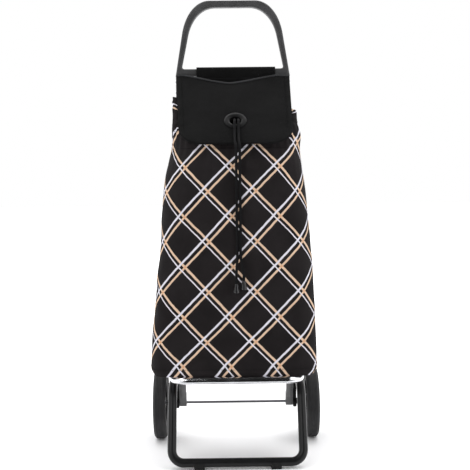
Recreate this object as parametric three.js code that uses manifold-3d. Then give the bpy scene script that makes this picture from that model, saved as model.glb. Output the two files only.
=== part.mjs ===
// A two-wheeled shopping trolley: a folding tube frame, two wheels, a drawstring bag and its flap.
// Millimetres, +Z up, the front of the trolley towards -Y. Left is -X, as seen from the front.
// Depths are counted from the wheel axle, negative to the front; the last lines centre the whole.
import * as THREE from 'three';
import { mergeVertices } from 'three/addons/utils/BufferGeometryUtils.js';
import Module from 'manifold-3d';

const wasm = await Module();
wasm.setup();

// ---------- driving dimensions ----------
const GAP = 0.3; // air between pieces that touch
const SIDES = [['left', -1], ['right', 1]];

const WHEEL_RADIUS = 82.5;
const WHEEL_X = 176.5; // middle of the tyre
const TYRE_HALF_WIDTH = 15;
const RIM_RADIUS = 57;
const AXLE_RADIUS = 3;
const AXLE_HALF_LENGTH = 189;

const UPRIGHT_X = 125; // middle of the side tubes
const UPRIGHT_Y = -14;
const UPRIGHT_WIDTH = 14;
const UPRIGHT_DEPTH = 22;
const TUBE_WALL = 1.5;
const UPRIGHT_BOTTOM = 150;
const CROSSBAR_BOTTOM = 846;
const CROSSBAR_TOP = 863;
const HANDLE_TOP = 1020.5;
const HANDLE_EDGE = 5; // rounding of the handle's edges
const SPIGOT_LENGTH = 42;

const PIVOT_Y = -52; // where the base hinges on the frame
const PIVOT_Z = 170;
const PIN_RADIUS = 4;
const EAR_RADIUS = 13;

const PLATFORM_X = 137;
const PLATFORM_Z = 179;
const PLATFORM_FRONT = -222;
const PLATFORM_RADIUS = 8;
const PLATFORM_BEND = 32;
const STAND_X = 138.5;
const STAND_RUN_Z = 159;
const STAND_TOP_FRONT = -187;
const STAND_FOOT_Y = -254;
const STAND_FOOT_Z = 13;
const STAND_RADIUS = 9.5;
const STAND_BEND = 26;
const KNUCKLE_FRONT = -100;
const TUBE_END_Y = -69; // the tubes end inside the knuckles
const FOOT_X = 80.5;
const FOOT_LENGTH = 22;
const FOOT_HALF_DEPTH = 11;

const BAG_BOTTOM = 190.5;
const BAG_TOP = 845;
const BAG_BOTTOM_HALF_WIDTH = 178.5;
const BAG_SIDE_SLOPE = 0.055; // how fast the sides draw in, and how much they curve
const BAG_SIDE_CURVE = 6.77e-5;
const BAG_FRONT_BOTTOM = -235;
const BAG_FRONT_SLOPE = 0.091;
const BAG_BACK = -31;
const BAG_CORNER = 34;
const BAG_WALL = 4;
const BAG_SWAY = 8; // the soft top leans a little to the right
const SLEEVE_HALF_WIDTH = 92;
const SLEEVE_X = 7; // it sits a little to the right of the middle
const SLEEVE_WALL = 2.5;
const SLEEVE_LENGTH = 48;

const FLAP_REAR = [-32, 846.3]; // depth and height of the flap's hinge line
const FLAP_FRONT = [-190, 683.6];
const FLAP_THICKNESS = 5;
const FLAP_REAR_HALF_WIDTH = 130.5;
const FLAP_FRONT_HALF_WIDTH = 123.5;
const FLAP_CORNER = 27;
const FLAP_SKEW = 5; // the front edge sits this far to the right
const FLAP_NOTCH = [102, 29]; // half-width and depth of the dip in the rear edge
const EYELET_DISTANCE = 155.5; // from the hinge line, down the flap
const EYELET_HOLE_RADIUS = 12.5;
const EYELET_RADIUS = 25;

const CORD_RADIUS = 3;
const TIP_RADIUS = 6.5;
const TIP_HEIGHT = 19;

// ---------- materials ----------
function material(color, roughness, metalness = 0) {
  return new THREE.MeshStandardMaterial({ color, roughness, metalness });
}
const handlePlastic = material(0x3c3f43, 0.42);
const blackPaint = material(0x1b1c1f, 0.4, 0.3);
const polishedAluminium = material(0xd4d6da, 0.18, 1);
const greyPlastic = material(0x6f7276, 0.5);
const blackPlastic = material(0x17181a, 0.5);
const darkSteel = material(0x44464a, 0.35, 1);
const tyreRubber = material(0x1d1e20, 0.85);
const bagFabric = material(0x1f1d1f, 0.9);
const blackFabric = material(0x141416, 0.95);
const piping = material(0x4a4c50, 0.6);
const boardPlastic = material(0x2a2b2d, 0.7);
const cordFabric = material(0x0f0f11, 0.9);

// ---------- solids ----------
// A closed mesh of positions only, with shared vertices merged and its faces pointing out.
function closed(geometry) {
  const bare = new THREE.BufferGeometry();
  bare.setAttribute('position', geometry.getAttribute('position').clone());
  if (geometry.index) bare.setIndex(geometry.index.clone());
  const merged = mergeVertices(bare, 1e-3);
  const p = merged.getAttribute('position');
  const kept = [];
  const [a, b, c] = [new THREE.Vector3(), new THREE.Vector3(), new THREE.Vector3()];
  let volume = 0;
  for (let i = 0; i < merged.index.count; i += 3) {
    const [i0, i1, i2] = [0, 1, 2].map((k) => merged.index.getX(i + k));
    if (i0 === i1 || i1 === i2 || i2 === i0) continue;
    kept.push([i0, i1, i2]);
    a.fromBufferAttribute(p, i0);
    b.fromBufferAttribute(p, i1);
    c.fromBufferAttribute(p, i2);
    volume += a.dot(b.cross(c));
  }
  const faces = volume < 0 ? kept.map(([i0, i1, i2]) => [i0, i2, i1]) : kept;
  merged.setIndex(faces.flat());
  return merged;
}

function toManifold(geometry) {
  const ready = closed(geometry);
  return new wasm.Manifold(new wasm.Mesh({
    numProp: 3,
    vertProperties: new Float32Array(ready.getAttribute('position').array),
    triVerts: new Uint32Array(ready.index.array),
  }));
}

function toGeometry(manifold) {
  const mesh = manifold.getMesh();
  const geometry = new THREE.BufferGeometry();
  geometry.setAttribute('position', new THREE.BufferAttribute(mesh.vertProperties, 3));
  geometry.setIndex(new THREE.BufferAttribute(mesh.triVerts, 1));
  return geometry;
}

function join(...geometries) {
  return toGeometry(geometries.map(toManifold).reduce((whole, piece) => whole.add(piece)));
}

function cut(geometry, ...tools) {
  return toGeometry(tools.map(toManifold).reduce((whole, tool) => whole.subtract(tool), toManifold(geometry)));
}

// Extrudes an outline drawn in depth and height along X, from xFrom to xTo.
function alongX(shape, xFrom, xTo, edge = 0, curveSegments = 8) {
  const geometry = extrude(shape, xTo - xFrom, edge, curveSegments);
  const [x, y, z] = [new THREE.Vector3(1, 0, 0), new THREE.Vector3(0, 1, 0), new THREE.Vector3(0, 0, 1)];
  geometry.applyMatrix4(new THREE.Matrix4().makeBasis(y, z, x));
  return geometry.translate(xFrom, 0, 0);
}

// Extrudes an outline by depth in all, with rounded edges that stay inside the outline.
function extrude(shape, depth, edge = 0, curveSegments = 8, edgeSegments = 2) {
  const geometry = new THREE.ExtrudeGeometry(shape, {
    depth: depth - 2 * edge,
    bevelEnabled: edge > 0,
    bevelThickness: edge,
    bevelSize: edge,
    bevelOffset: -edge,
    bevelSegments: edgeSegments,
    curveSegments,
  });
  return geometry.translate(0, 0, edge);
}

function roundedRectangle(width, depth, radius) {
  const [w, d] = [width / 2, depth / 2];
  const shape = new THREE.Shape();
  shape.moveTo(-w + radius, -d);
  shape.lineTo(w - radius, -d);
  shape.absarc(w - radius, -d + radius, radius, -Math.PI / 2, 0);
  shape.lineTo(w, d - radius);
  shape.absarc(w - radius, d - radius, radius, 0, Math.PI / 2);
  shape.lineTo(-w + radius, d);
  shape.absarc(-w + radius, d - radius, radius, Math.PI / 2, Math.PI);
  shape.lineTo(-w, -d + radius);
  shape.absarc(-w + radius, -d + radius, radius, Math.PI, 1.5 * Math.PI);
  return shape;
}

// A closed ring or a solid turned about X. The profile is a list of [radius, x].
function turned(profile, segments = 20) {
  const points = profile.map(([radius, x]) => new THREE.Vector2(radius, x));
  return new THREE.LatheGeometry(points, segments).rotateZ(-Math.PI / 2);
}

function rod(radius, xFrom, xTo, y, z, segments = 16) {
  const geometry = new THREE.CylinderGeometry(radius, radius, xTo - xFrom, segments);
  return geometry.rotateZ(-Math.PI / 2).translate((xFrom + xTo) / 2, y, z);
}

function mirrored(geometry, side) {
  return side < 0 ? closed(geometry.clone().scale(-1, 1, 1)) : closed(geometry);
}

// Straight runs joined by round bends, with stations only where the shape turns.
class BentPath extends THREE.Curve {
  constructor(corners, bend, bendSteps) {
    super();
    this.points = [corners[0]];
    this.tangents = [corners[1].clone().sub(corners[0]).normalize()];
    for (let i = 1; i < corners.length - 1; i += 1) {
      const into = corners[i].clone().sub(corners[i - 1]).normalize();
      const out = corners[i + 1].clone().sub(corners[i]).normalize();
      const angle = into.angleTo(out);
      const start = corners[i].clone().addScaledVector(into, -bend * Math.tan(angle / 2));
      const inwards = out.clone().addScaledVector(into, -Math.cos(angle)).normalize();
      for (let k = 0; k <= bendSteps; k += 1) {
        const turn = (angle * k) / bendSteps;
        const point = start.clone().addScaledVector(into, bend * Math.sin(turn));
        this.points.push(point.addScaledVector(inwards, bend * (1 - Math.cos(turn))));
        const tangent = into.clone().multiplyScalar(Math.cos(turn));
        this.tangents.push(tangent.addScaledVector(inwards, Math.sin(turn)));
      }
    }
    this.points.push(corners.at(-1));
    this.tangents.push(corners.at(-1).clone().sub(corners.at(-2)).normalize());
  }

  get steps() {
    return this.points.length - 1;
  }

  getPointAt(u, target = new THREE.Vector3()) {
    return target.copy(this.points[Math.round(u * this.steps)]);
  }

  getTangentAt(u, target = new THREE.Vector3()) {
    return target.copy(this.tangents[Math.round(u * this.steps)]);
  }
}

function circle(radius, segments) {
  const points = [];
  for (let i = 0; i < segments; i += 1) {
    const angle = (2 * Math.PI * i) / segments;
    points.push(new THREE.Vector2(radius * Math.cos(angle), radius * Math.sin(angle)));
  }
  return new THREE.Shape(points);
}

function bentTube(corners, bend, radius, bendSteps = 5, segments = 12) {
  const path = new BentPath(corners.map((c) => new THREE.Vector3(...c)), bend, bendSteps);
  return new THREE.ExtrudeGeometry(circle(radius, segments), { steps: path.steps, extrudePath: path });
}

// ---------- the scene graph ----------
const trolley = new THREE.Group();
trolley.name = 'shopping_trolley';

function add(name, geometry, look, parent = trolley) {
  const mesh = new THREE.Mesh(closed(geometry), look);
  mesh.name = name;
  parent.add(mesh);
  return mesh;
}

// ---------- handle ----------
// Half the arch: a leaning side, a wide bend and a flat top.
const OUTER_ARCH = { foot: 132.4, kneeX: 116.5, kneeZ: 944, rise: 45, reach: 32, flat: 52, top: HANDLE_TOP };
const INNER_ARCH = { foot: 118.3, kneeX: 102.6, kneeZ: 940, rise: 40, reach: 30, flat: 40, top: HANDLE_TOP - 16 };

function archSide(path, arch, bottom, side) {
  const lean = (arch.foot - arch.kneeX) / (arch.kneeZ - bottom);
  const ease = Math.hypot(lean, 1);
  const rise = [(arch.kneeX - (arch.rise * lean) / ease) * side, arch.kneeZ + arch.rise / ease];
  const reach = [(arch.flat + arch.reach) * side, arch.top];
  if (side > 0) {
    path.lineTo(arch.kneeX, arch.kneeZ);
    path.bezierCurveTo(...rise, ...reach, arch.flat, arch.top);
  } else {
    path.lineTo(-arch.flat, arch.top);
    path.bezierCurveTo(...reach, ...rise, -arch.kneeX, arch.kneeZ);
  }
}

function handleArch() {
  const outline = new THREE.Shape();
  outline.moveTo(OUTER_ARCH.foot, CROSSBAR_BOTTOM);
  archSide(outline, OUTER_ARCH, CROSSBAR_BOTTOM, 1);
  archSide(outline, OUTER_ARCH, CROSSBAR_BOTTOM, -1);
  outline.lineTo(-OUTER_ARCH.foot, CROSSBAR_BOTTOM);
  const grip = new THREE.Path();
  const fillet = 6;
  grip.moveTo(INNER_ARCH.foot - fillet, CROSSBAR_TOP);
  grip.quadraticCurveTo(INNER_ARCH.foot, CROSSBAR_TOP, INNER_ARCH.foot - 1, CROSSBAR_TOP + fillet);
  archSide(grip, INNER_ARCH, CROSSBAR_TOP, 1);
  archSide(grip, INNER_ARCH, CROSSBAR_TOP, -1);
  grip.lineTo(-INNER_ARCH.foot + 1, CROSSBAR_TOP + fillet);
  grip.quadraticCurveTo(-INNER_ARCH.foot, CROSSBAR_TOP, -INNER_ARCH.foot + fillet, CROSSBAR_TOP);
  outline.holes.push(grip);
  const arch = extrude(outline, UPRIGHT_DEPTH, HANDLE_EDGE, 9, 3);
  arch.rotateX(Math.PI / 2).translate(0, UPRIGHT_Y + UPRIGHT_DEPTH / 2, 0);
  return join(arch, spigot(-1, CROSSBAR_BOTTOM + 6, -1), spigot(1, CROSSBAR_BOTTOM + 6, -1));
}

// The stub of a moulding that goes into the end of a side tube, up or down from a height.
function spigot(side, from, direction) {
  const play = 2 * (TUBE_WALL + GAP);
  const section = roundedRectangle(UPRIGHT_WIDTH - play, UPRIGHT_DEPTH - play, 4);
  const stub = extrude(section, SPIGOT_LENGTH + 6, 0, 3);
  const bottom = direction < 0 ? from - SPIGOT_LENGTH - 6 : from;
  return stub.translate(side * UPRIGHT_X, UPRIGHT_Y, bottom);
}

const RIVET_HEIGHTS = [808, 833];

function sideTube(side) {
  const outline = roundedRectangle(UPRIGHT_WIDTH, UPRIGHT_DEPTH, 6);
  outline.holes.push(roundedRectangle(UPRIGHT_WIDTH - 2 * TUBE_WALL, UPRIGHT_DEPTH - 2 * TUBE_WALL, 4.5));
  const length = CROSSBAR_BOTTOM - UPRIGHT_BOTTOM - 2 * GAP;
  const tube = extrude(outline, length, 0, 4);
  tube.translate(UPRIGHT_X, UPRIGHT_Y, UPRIGHT_BOTTOM + GAP);
  const holes = RIVET_HEIGHTS.map((z) => rod(2.3, UPRIGHT_X + 4, UPRIGHT_X + 10, UPRIGHT_Y, z, 10));
  return mirrored(cut(tube, ...holes), side);
}

function rivet(side, z) {
  const face = UPRIGHT_X + UPRIGHT_WIDTH / 2;
  const profile = [[0, -1.2], [2, -1.2], [2, GAP], [4, GAP], [3.2, 1.3], [1.6, 1.9], [0, 2]];
  return mirrored(turned(profile, 12).translate(face, UPRIGHT_Y, z), side);
}

add('handle_arch', handleArch(), handlePlastic);
for (const [word, side] of SIDES) {
  add(`${word}_side_tube`, sideTube(side), blackPaint);
  add(`${word}_lower_handle_rivet`, rivet(side, RIVET_HEIGHTS[0]), polishedAluminium);
  add(`${word}_upper_handle_rivet`, rivet(side, RIVET_HEIGHTS[1]), polishedAluminium);
}

// ---------- axle brackets and axle ----------
const BRACKET_INNER_X = 116.5;
const BRACKET_OUTER_X = 133.5;
const EAR_OUTER_X = 126.5;
const BRACKET_END_RADIUS = 9.5; // round the axle
const BOSS_RADIUS = 13.5;

function bracketBody() {
  const shape = new THREE.Shape();
  shape.moveTo(-BRACKET_END_RADIUS, WHEEL_RADIUS);
  shape.absarc(0, WHEEL_RADIUS, BRACKET_END_RADIUS, Math.PI, 2 * Math.PI);
  shape.lineTo(10, 122);
  shape.lineTo(0, UPRIGHT_BOTTOM);
  shape.lineTo(-28, UPRIGHT_BOTTOM);
  shape.lineTo(-28, 116);
  return alongX(shape, BRACKET_INNER_X, BRACKET_OUTER_X, 1.5);
}

function bracketEar() {
  const shape = new THREE.Shape();
  shape.moveTo(-20, 96);
  shape.lineTo(-20, 149);
  shape.lineTo(-28, 151);
  shape.absarc(PIVOT_Y, PIVOT_Z, EAR_RADIUS, Math.PI / 6, 1.2 * Math.PI);
  return alongX(shape, BRACKET_INNER_X, EAR_OUTER_X, 1);
}

function axleBracket(side) {
  const solid = join(bracketBody(), bracketEar(), spigot(1, UPRIGHT_BOTTOM - 6, 1));
  const axleHole = rod(AXLE_RADIUS + GAP, 100, 150, 0, WHEEL_RADIUS);
  const pinHole = rod(PIN_RADIUS + GAP, 100, 150, PIVOT_Y, PIVOT_Z);
  return mirrored(cut(solid, axleHole, pinHole), side);
}

function pivotPin(side) {
  const [inner, outer] = [BRACKET_INNER_X - GAP, KNUCKLE_OUTER_X + GAP];
  const profile = [
    [0, inner - 3], [5, inner - 3], [7, inner - 1.5], [7, inner], [PIN_RADIUS, inner],
    [PIN_RADIUS, outer], [7, outer], [7, outer + 1.5], [5, outer + 3], [0, outer + 3],
  ];
  return mirrored(turned(profile, 14).translate(0, PIVOT_Y, PIVOT_Z), side);
}

// A ring round the axle between two distances from the middle.
function axleRing(side, xFrom, xTo, radius, chamfer = 1) {
  const bore = AXLE_RADIUS + GAP;
  const profile = [
    [bore, xFrom], [radius - chamfer, xFrom], [radius, xFrom + chamfer],
    [radius, xTo - chamfer], [radius - chamfer, xTo], [bore, xTo], [bore, xFrom],
  ];
  return mirrored(turned(profile, 16).translate(0, 0, WHEEL_RADIUS), side);
}

// The boss that the wheel's spacer bears on, with a rib up the outer side of the bracket.
function axleBoss(side) {
  const [from, to] = [BRACKET_OUTER_X + GAP, 142];
  const rib = new THREE.Shape();
  rib.moveTo(-9, WHEEL_RADIUS + 6);
  rib.lineTo(8, WHEEL_RADIUS + 6);
  rib.lineTo(0, UPRIGHT_BOTTOM - 2);
  rib.lineTo(-16, UPRIGHT_BOTTOM - 2);
  return mirrored(join(axleRing(1, from, to, BOSS_RADIUS, 2), alongX(rib, from, to - 0.5, 1)), side);
}

const KNUCKLE_INNER_X = 127;
const KNUCKLE_OUTER_X = 150.5;
const HUB_INNER_X = 162;
const HUB_OUTER_X = 187;

for (const [word, side] of SIDES) {
  add(`${word}_axle_bracket`, axleBracket(side), greyPlastic);
  add(`${word}_pivot_pin`, pivotPin(side), darkSteel);
  add(`${word}_axle_boss`, axleBoss(side), blackPlastic);
  add(`${word}_axle_spacer`, axleRing(side, 142 + GAP, HUB_INNER_X - GAP, 7), blackPlastic);
  add(`${word}_axle_clip`, axleRing(side, HUB_OUTER_X + GAP, HUB_OUTER_X + 2, 7.5, 0.5), darkSteel);
}
add('axle_rod', rod(AXLE_RADIUS, -AXLE_HALF_LENGTH, AXLE_HALF_LENGTH, 0, WHEEL_RADIUS), darkSteel);

// ---------- wheels ----------
function tyre() {
  const profile = [[RIM_RADIUS + GAP, -11], [RIM_RADIUS + GAP, 11]];
  const shoulder = 8;
  const sweep = 4;
  profile.push([RIM_RADIUS + 9, TYRE_HALF_WIDTH]);
  for (const end of [1, -1]) {
    for (let k = 0; k <= sweep; k += 1) {
      const turn = (Math.PI / 2) * (end > 0 ? k / sweep : 1 - k / sweep);
      const radius = WHEEL_RADIUS - shoulder + shoulder * Math.sin(turn);
      profile.push([radius, end * (TYRE_HALF_WIDTH - shoulder + shoulder * Math.cos(turn))]);
    }
  }
  profile.push([RIM_RADIUS + 9, -TYRE_HALF_WIDTH], [RIM_RADIUS + GAP, -11]);
  return turned(profile, 40);
}

const BUSH_RADIUS = 9;

function rim() {
  const [inner, outer] = [HUB_INNER_X - WHEEL_X, HUB_OUTER_X - WHEEL_X];
  const bore = BUSH_RADIUS + GAP;
  const half = [
    [bore, inner], [16, inner], [17, -4], [RIM_RADIUS - 6, -3], [RIM_RADIUS - 5, -11], [RIM_RADIUS, -11],
    [RIM_RADIUS, 11], [RIM_RADIUS - 5, 11], [RIM_RADIUS - 6, 3], [17, 4], [16, outer], [bore, outer],
    [bore, inner],
  ];
  return turned(half, 32);
}

function bushing() {
  const bore = AXLE_RADIUS + GAP;
  const [inner, outer] = [HUB_INNER_X - WHEEL_X, HUB_OUTER_X - WHEEL_X];
  const profile = [[bore, inner], [BUSH_RADIUS, inner], [BUSH_RADIUS, outer], [bore, outer], [bore, inner]];
  return turned(profile, 16);
}

function hubCap() {
  const start = HUB_OUTER_X + GAP - WHEEL_X;
  const profile = [
    [0, start + 3.2], [9.5, start + 2.8], [9.5, start], [15, start],
    [15, start + 2.4], [11, start + 4.6], [5, start + 5.4], [0, start + 5.6],
  ];
  return turned(profile, 20);
}

for (const [word, side] of SIDES) {
  const wheel = new THREE.Group();
  wheel.position.set(side * WHEEL_X, 0, WHEEL_RADIUS);
  trolley.add(wheel);
  add(`${word}_tyre`, mirrored(tyre(), side), tyreRubber, wheel);
  add(`${word}_rim`, mirrored(rim(), side), blackPlastic, wheel);
  add(`${word}_hub_bushing`, mirrored(bushing(), side), greyPlastic, wheel);
  add(`${word}_hub_cap`, mirrored(hubCap(), side), blackPlastic, wheel);
}

// ---------- folding base ----------
function platformLoop() {
  const [x, z] = [PLATFORM_X, PLATFORM_Z];
  const corners = [[x, TUBE_END_Y, z], [x, PLATFORM_FRONT, z], [-x, PLATFORM_FRONT, z], [-x, TUBE_END_Y, z]];
  return bentTube(corners, PLATFORM_BEND, PLATFORM_RADIUS, 6);
}

function standLoop() {
  const half = [
    [STAND_X, TUBE_END_Y, STAND_RUN_Z],
    [STAND_X, STAND_TOP_FRONT, STAND_RUN_Z],
    [STAND_X, STAND_FOOT_Y, STAND_FOOT_Z],
  ];
  const otherHalf = half.map(([x, y, z]) => [-x, y, z]).reverse();
  return bentTube([...half, ...otherHalf], STAND_BEND, STAND_RADIUS, 5);
}

function baseKnuckle(side) {
  const shape = new THREE.Shape();
  const [bottom, top] = [146, 190];
  shape.moveTo(KNUCKLE_FRONT, bottom);
  shape.lineTo(-64, bottom);
  shape.absarc(PIVOT_Y, PIVOT_Z, EAR_RADIUS, -Math.PI / 3, Math.PI / 2);
  shape.lineTo(-64, top);
  shape.lineTo(KNUCKLE_FRONT, top);
  const block = alongX(shape, KNUCKLE_INNER_X, KNUCKLE_OUTER_X, 1.5);
  const sockets = [
    [PLATFORM_RADIUS, PLATFORM_X, PLATFORM_Z],
    [STAND_RADIUS, STAND_X, STAND_RUN_Z],
  ].map(([radius, x, z]) => {
    const length = TUBE_END_Y + GAP - KNUCKLE_FRONT + 5;
    const socket = new THREE.CylinderGeometry(radius + GAP, radius + GAP, length, 20);
    return socket.translate(x, TUBE_END_Y + GAP - length / 2, z);
  });
  const pinHole = rod(PIN_RADIUS + GAP, 100, 170, PIVOT_Y, PIVOT_Z);
  return mirrored(cut(block, ...sockets, pinHole), side);
}

function foot(side) {
  const shape = new THREE.Shape();
  const inner = STAND_RADIUS + GAP;
  shape.moveTo(-FOOT_HALF_DEPTH, STAND_FOOT_Z);
  shape.lineTo(-FOOT_HALF_DEPTH, 3);
  shape.lineTo(-FOOT_HALF_DEPTH + 3, 0);
  shape.lineTo(FOOT_HALF_DEPTH - 3, 0);
  shape.lineTo(FOOT_HALF_DEPTH, 3);
  shape.lineTo(FOOT_HALF_DEPTH, STAND_FOOT_Z);
  shape.lineTo(inner, STAND_FOOT_Z);
  shape.absarc(0, STAND_FOOT_Z, inner, 0, -Math.PI, true);
  const clip = alongX(shape, FOOT_X - FOOT_LENGTH / 2, FOOT_X + FOOT_LENGTH / 2, 0, 10);
  return mirrored(clip.translate(0, STAND_FOOT_Y, 0), side);
}

function baseBoard() {
  const board = extrude(roundedRectangle(220, 138, 10), 2.5, 0, 4);
  return board.translate(0, (BAG_FRONT_BOTTOM + BAG_BACK) / 2, BAG_BOTTOM + BAG_WALL + GAP);
}

add('platform_loop', platformLoop(), polishedAluminium);
add('stand_loop', standLoop(), blackPaint);
add('bag_base_board', baseBoard(), boardPlastic);
for (const [word, side] of SIDES) {
  add(`${word}_base_knuckle`, baseKnuckle(side), blackPlastic);
  add(`${word}_foot`, foot(side), tyreRubber);
}

// ---------- flap ----------
const FLAP_LENGTH = Math.hypot(FLAP_REAR[0] - FLAP_FRONT[0], FLAP_REAR[1] - FLAP_FRONT[1]);
const FLAP_SLOPE = Math.atan2(FLAP_REAR[1] - FLAP_FRONT[1], FLAP_REAR[0] - FLAP_FRONT[0]);
const flap = new THREE.Group();
flap.position.set(0, FLAP_REAR[0], FLAP_REAR[1]);
flap.rotation.x = FLAP_SLOPE;
trolley.add(flap);

const EYELET_X = (FLAP_SKEW * EYELET_DISTANCE) / FLAP_LENGTH;
const WASHER_RADIUS = EYELET_RADIUS - 4;
const WASHER_THICKNESS = 1.6;

// The flap lies in its own plane: x across, y up the slope from the front edge to the hinge line.
function flapPanel() {
  const shape = new THREE.Shape();
  const [notchHalf, notchDepth] = FLAP_NOTCH;
  const [left, right] = [FLAP_SKEW - FLAP_FRONT_HALF_WIDTH, FLAP_SKEW + FLAP_FRONT_HALF_WIDTH];
  shape.moveTo(-FLAP_REAR_HALF_WIDTH, 0);
  shape.lineTo(left, -FLAP_LENGTH + FLAP_CORNER);
  shape.quadraticCurveTo(left, -FLAP_LENGTH, left + FLAP_CORNER, -FLAP_LENGTH);
  shape.lineTo(right - FLAP_CORNER, -FLAP_LENGTH);
  shape.quadraticCurveTo(right, -FLAP_LENGTH, right, -FLAP_LENGTH + FLAP_CORNER);
  shape.lineTo(FLAP_REAR_HALF_WIDTH, 0);
  shape.lineTo(notchHalf, 0);
  shape.lineTo(0, -notchDepth);
  shape.lineTo(-notchHalf, 0);
  const hole = new THREE.Path();
  hole.absarc(EYELET_X, -EYELET_DISTANCE, EYELET_HOLE_RADIUS + 3, 0, 2 * Math.PI, true);
  shape.holes.push(hole);
  return extrude(shape, FLAP_THICKNESS, 0, 6).translate(0, 0, -FLAP_THICKNESS);
}

function flapPiping() {
  const [notchHalf, notchDepth] = FLAP_NOTCH;
  const [rise, inset] = [2 + GAP, 3];
  const corners = [
    [-FLAP_REAR_HALF_WIDTH + 2, -inset, rise],
    [-notchHalf, -inset, rise],
    [0, -notchDepth - inset, rise],
    [notchHalf, -inset, rise],
    [FLAP_REAR_HALF_WIDTH - 2, -inset, rise],
  ];
  return bentTube(corners, 8, 2, 2, 8);
}

// The flat washer behind the fabric.
function eyeletWasher() {
  const [top, bottom] = [-FLAP_THICKNESS - GAP, -FLAP_THICKNESS - GAP - WASHER_THICKNESS];
  const points = [
    [EYELET_HOLE_RADIUS, bottom], [WASHER_RADIUS, bottom], [WASHER_RADIUS, top],
    [EYELET_HOLE_RADIUS, top], [EYELET_HOLE_RADIUS, bottom],
  ].map(([r, y]) => new THREE.Vector2(r, y));
  return new THREE.LatheGeometry(points, 24).rotateX(Math.PI / 2).translate(EYELET_X, -EYELET_DISTANCE, 0);
}

// The collar runs through the hole in the fabric to the washer behind it.
function eyeletRing() {
  const neck = FLAP_THICKNESS - 1;
  const points = [
    [EYELET_HOLE_RADIUS, -neck], [EYELET_HOLE_RADIUS + 2.4, -neck], [EYELET_HOLE_RADIUS + 2.4, GAP],
    [EYELET_RADIUS, GAP], [EYELET_RADIUS - 0.6, 1.8], [EYELET_RADIUS - 4, 3.2],
    [EYELET_HOLE_RADIUS + 3, 3], [EYELET_HOLE_RADIUS, 1.2], [EYELET_HOLE_RADIUS, -neck],
  ].map(([r, y]) => new THREE.Vector2(r, y));
  return new THREE.LatheGeometry(points, 28).rotateX(Math.PI / 2).translate(EYELET_X, -EYELET_DISTANCE, 0);
}

add('flap_panel', flapPanel(), blackFabric, flap);
add('flap_piping', flapPiping(), piping, flap);
add('eyelet_ring', eyeletRing(), blackPlastic, flap);
add('eyelet_washer', eyeletWasher(), blackPlastic, flap);

// ---------- bag ----------
function bagHalfWidth(z) {
  const h = z - BAG_BOTTOM;
  return BAG_BOTTOM_HALF_WIDTH - BAG_SIDE_SLOPE * h - BAG_SIDE_CURVE * h * (h - 200);
}

function bagFront(z) {
  return BAG_FRONT_BOTTOM + BAG_FRONT_SLOPE * (z - BAG_BOTTOM);
}

// The bag's outer form, drawn in by an inset all round, between two heights.
function bagForm(inset, from, to, levels = 6) {
  const unit = roundedRectangle(2, 2, 0.4);
  const form = new THREE.ExtrudeGeometry(unit, { depth: 1, steps: levels, bevelEnabled: false, curveSegments: 4 });
  const p = form.getAttribute('position');
  for (let i = 0; i < p.count; i += 1) {
    const z = from + p.getZ(i) * (to - from);
    const halfWidth = bagHalfWidth(z) - inset;
    const front = bagFront(z) + inset;
    const back = BAG_BACK - inset;
    const corner = BAG_CORNER - inset;
    const [sx, sy] = [Math.sign(p.getX(i)), Math.sign(p.getY(i))];
    const [cx, cy] = [Math.abs(p.getX(i)) - 0.6, Math.abs(p.getY(i)) - 0.6];
    const halfDepth = (back - front) / 2;
    const x = sx * (halfWidth - corner + Math.max(0, cx / 0.4) * corner);
    const y = (front + back) / 2 + sy * (halfDepth - corner + Math.max(0, cy / 0.4) * corner);
    const sway = (BAG_SWAY * (z - BAG_BOTTOM)) / (BAG_TOP - BAG_BOTTOM);
    p.setXYZ(i, x + sway, y, z);
  }
  return form;
}

// Everything above a plane that lies parallel to the flap, a distance below its outer face.
function aboveFlapPlane(distance) {
  const block = new THREE.BoxGeometry(600, 900, 400).translate(0, 0, 200 - distance);
  return block.rotateX(FLAP_SLOPE).translate(0, FLAP_REAR[0], FLAP_REAR[1]);
}

const RIM_CLEARANCE = FLAP_THICKNESS + 4;
const CHANNEL_HEIGHT = 26;

function bagShell() {
  const outer = bagForm(0, BAG_BOTTOM, BAG_TOP);
  const inner = bagForm(BAG_WALL, BAG_BOTTOM + BAG_WALL, BAG_TOP + 10);
  return cut(outer, inner, aboveFlapPlane(RIM_CLEARANCE));
}

// The drawstring channel sewn round the inside of the mouth.
function drawstringChannel() {
  const [from, to] = [560, BAG_TOP];
  const outer = toManifold(bagForm(BAG_WALL + GAP, from, to));
  const ring = outer.subtract(toManifold(bagForm(BAG_WALL + GAP + 3, from - 5, to + 5)));
  const below = ring.subtract(toManifold(aboveFlapPlane(RIM_CLEARANCE + 2)));
  return toGeometry(below.intersect(toManifold(aboveFlapPlane(RIM_CLEARANCE + 2 + CHANNEL_HEIGHT))));
}

// The cloth loop that hangs the bag from the handle's crossbar.
function hangingSleeve() {
  const [front, back] = [UPRIGHT_Y - UPRIGHT_DEPTH / 2 - 0.5, UPRIGHT_Y + UPRIGHT_DEPTH / 2 + 0.5];
  const [inside, outside] = [CROSSBAR_TOP + 0.5, CROSSBAR_TOP + 0.5 + SLEEVE_WALL];
  const bottom = inside - SLEEVE_LENGTH;
  const shape = new THREE.Shape();
  shape.moveTo(front - SLEEVE_WALL, bottom);
  shape.lineTo(front, bottom);
  shape.lineTo(front, inside);
  shape.lineTo(back, inside);
  shape.lineTo(back, bottom);
  shape.lineTo(back + SLEEVE_WALL, bottom);
  shape.lineTo(back + SLEEVE_WALL, outside - 2);
  shape.lineTo(back + SLEEVE_WALL - 2, outside);
  shape.lineTo(front - SLEEVE_WALL + 2, outside);
  shape.lineTo(front - SLEEVE_WALL, outside - 2);
  return alongX(shape, SLEEVE_X - SLEEVE_HALF_WIDTH, SLEEVE_X + SLEEVE_HALF_WIDTH);
}

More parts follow.
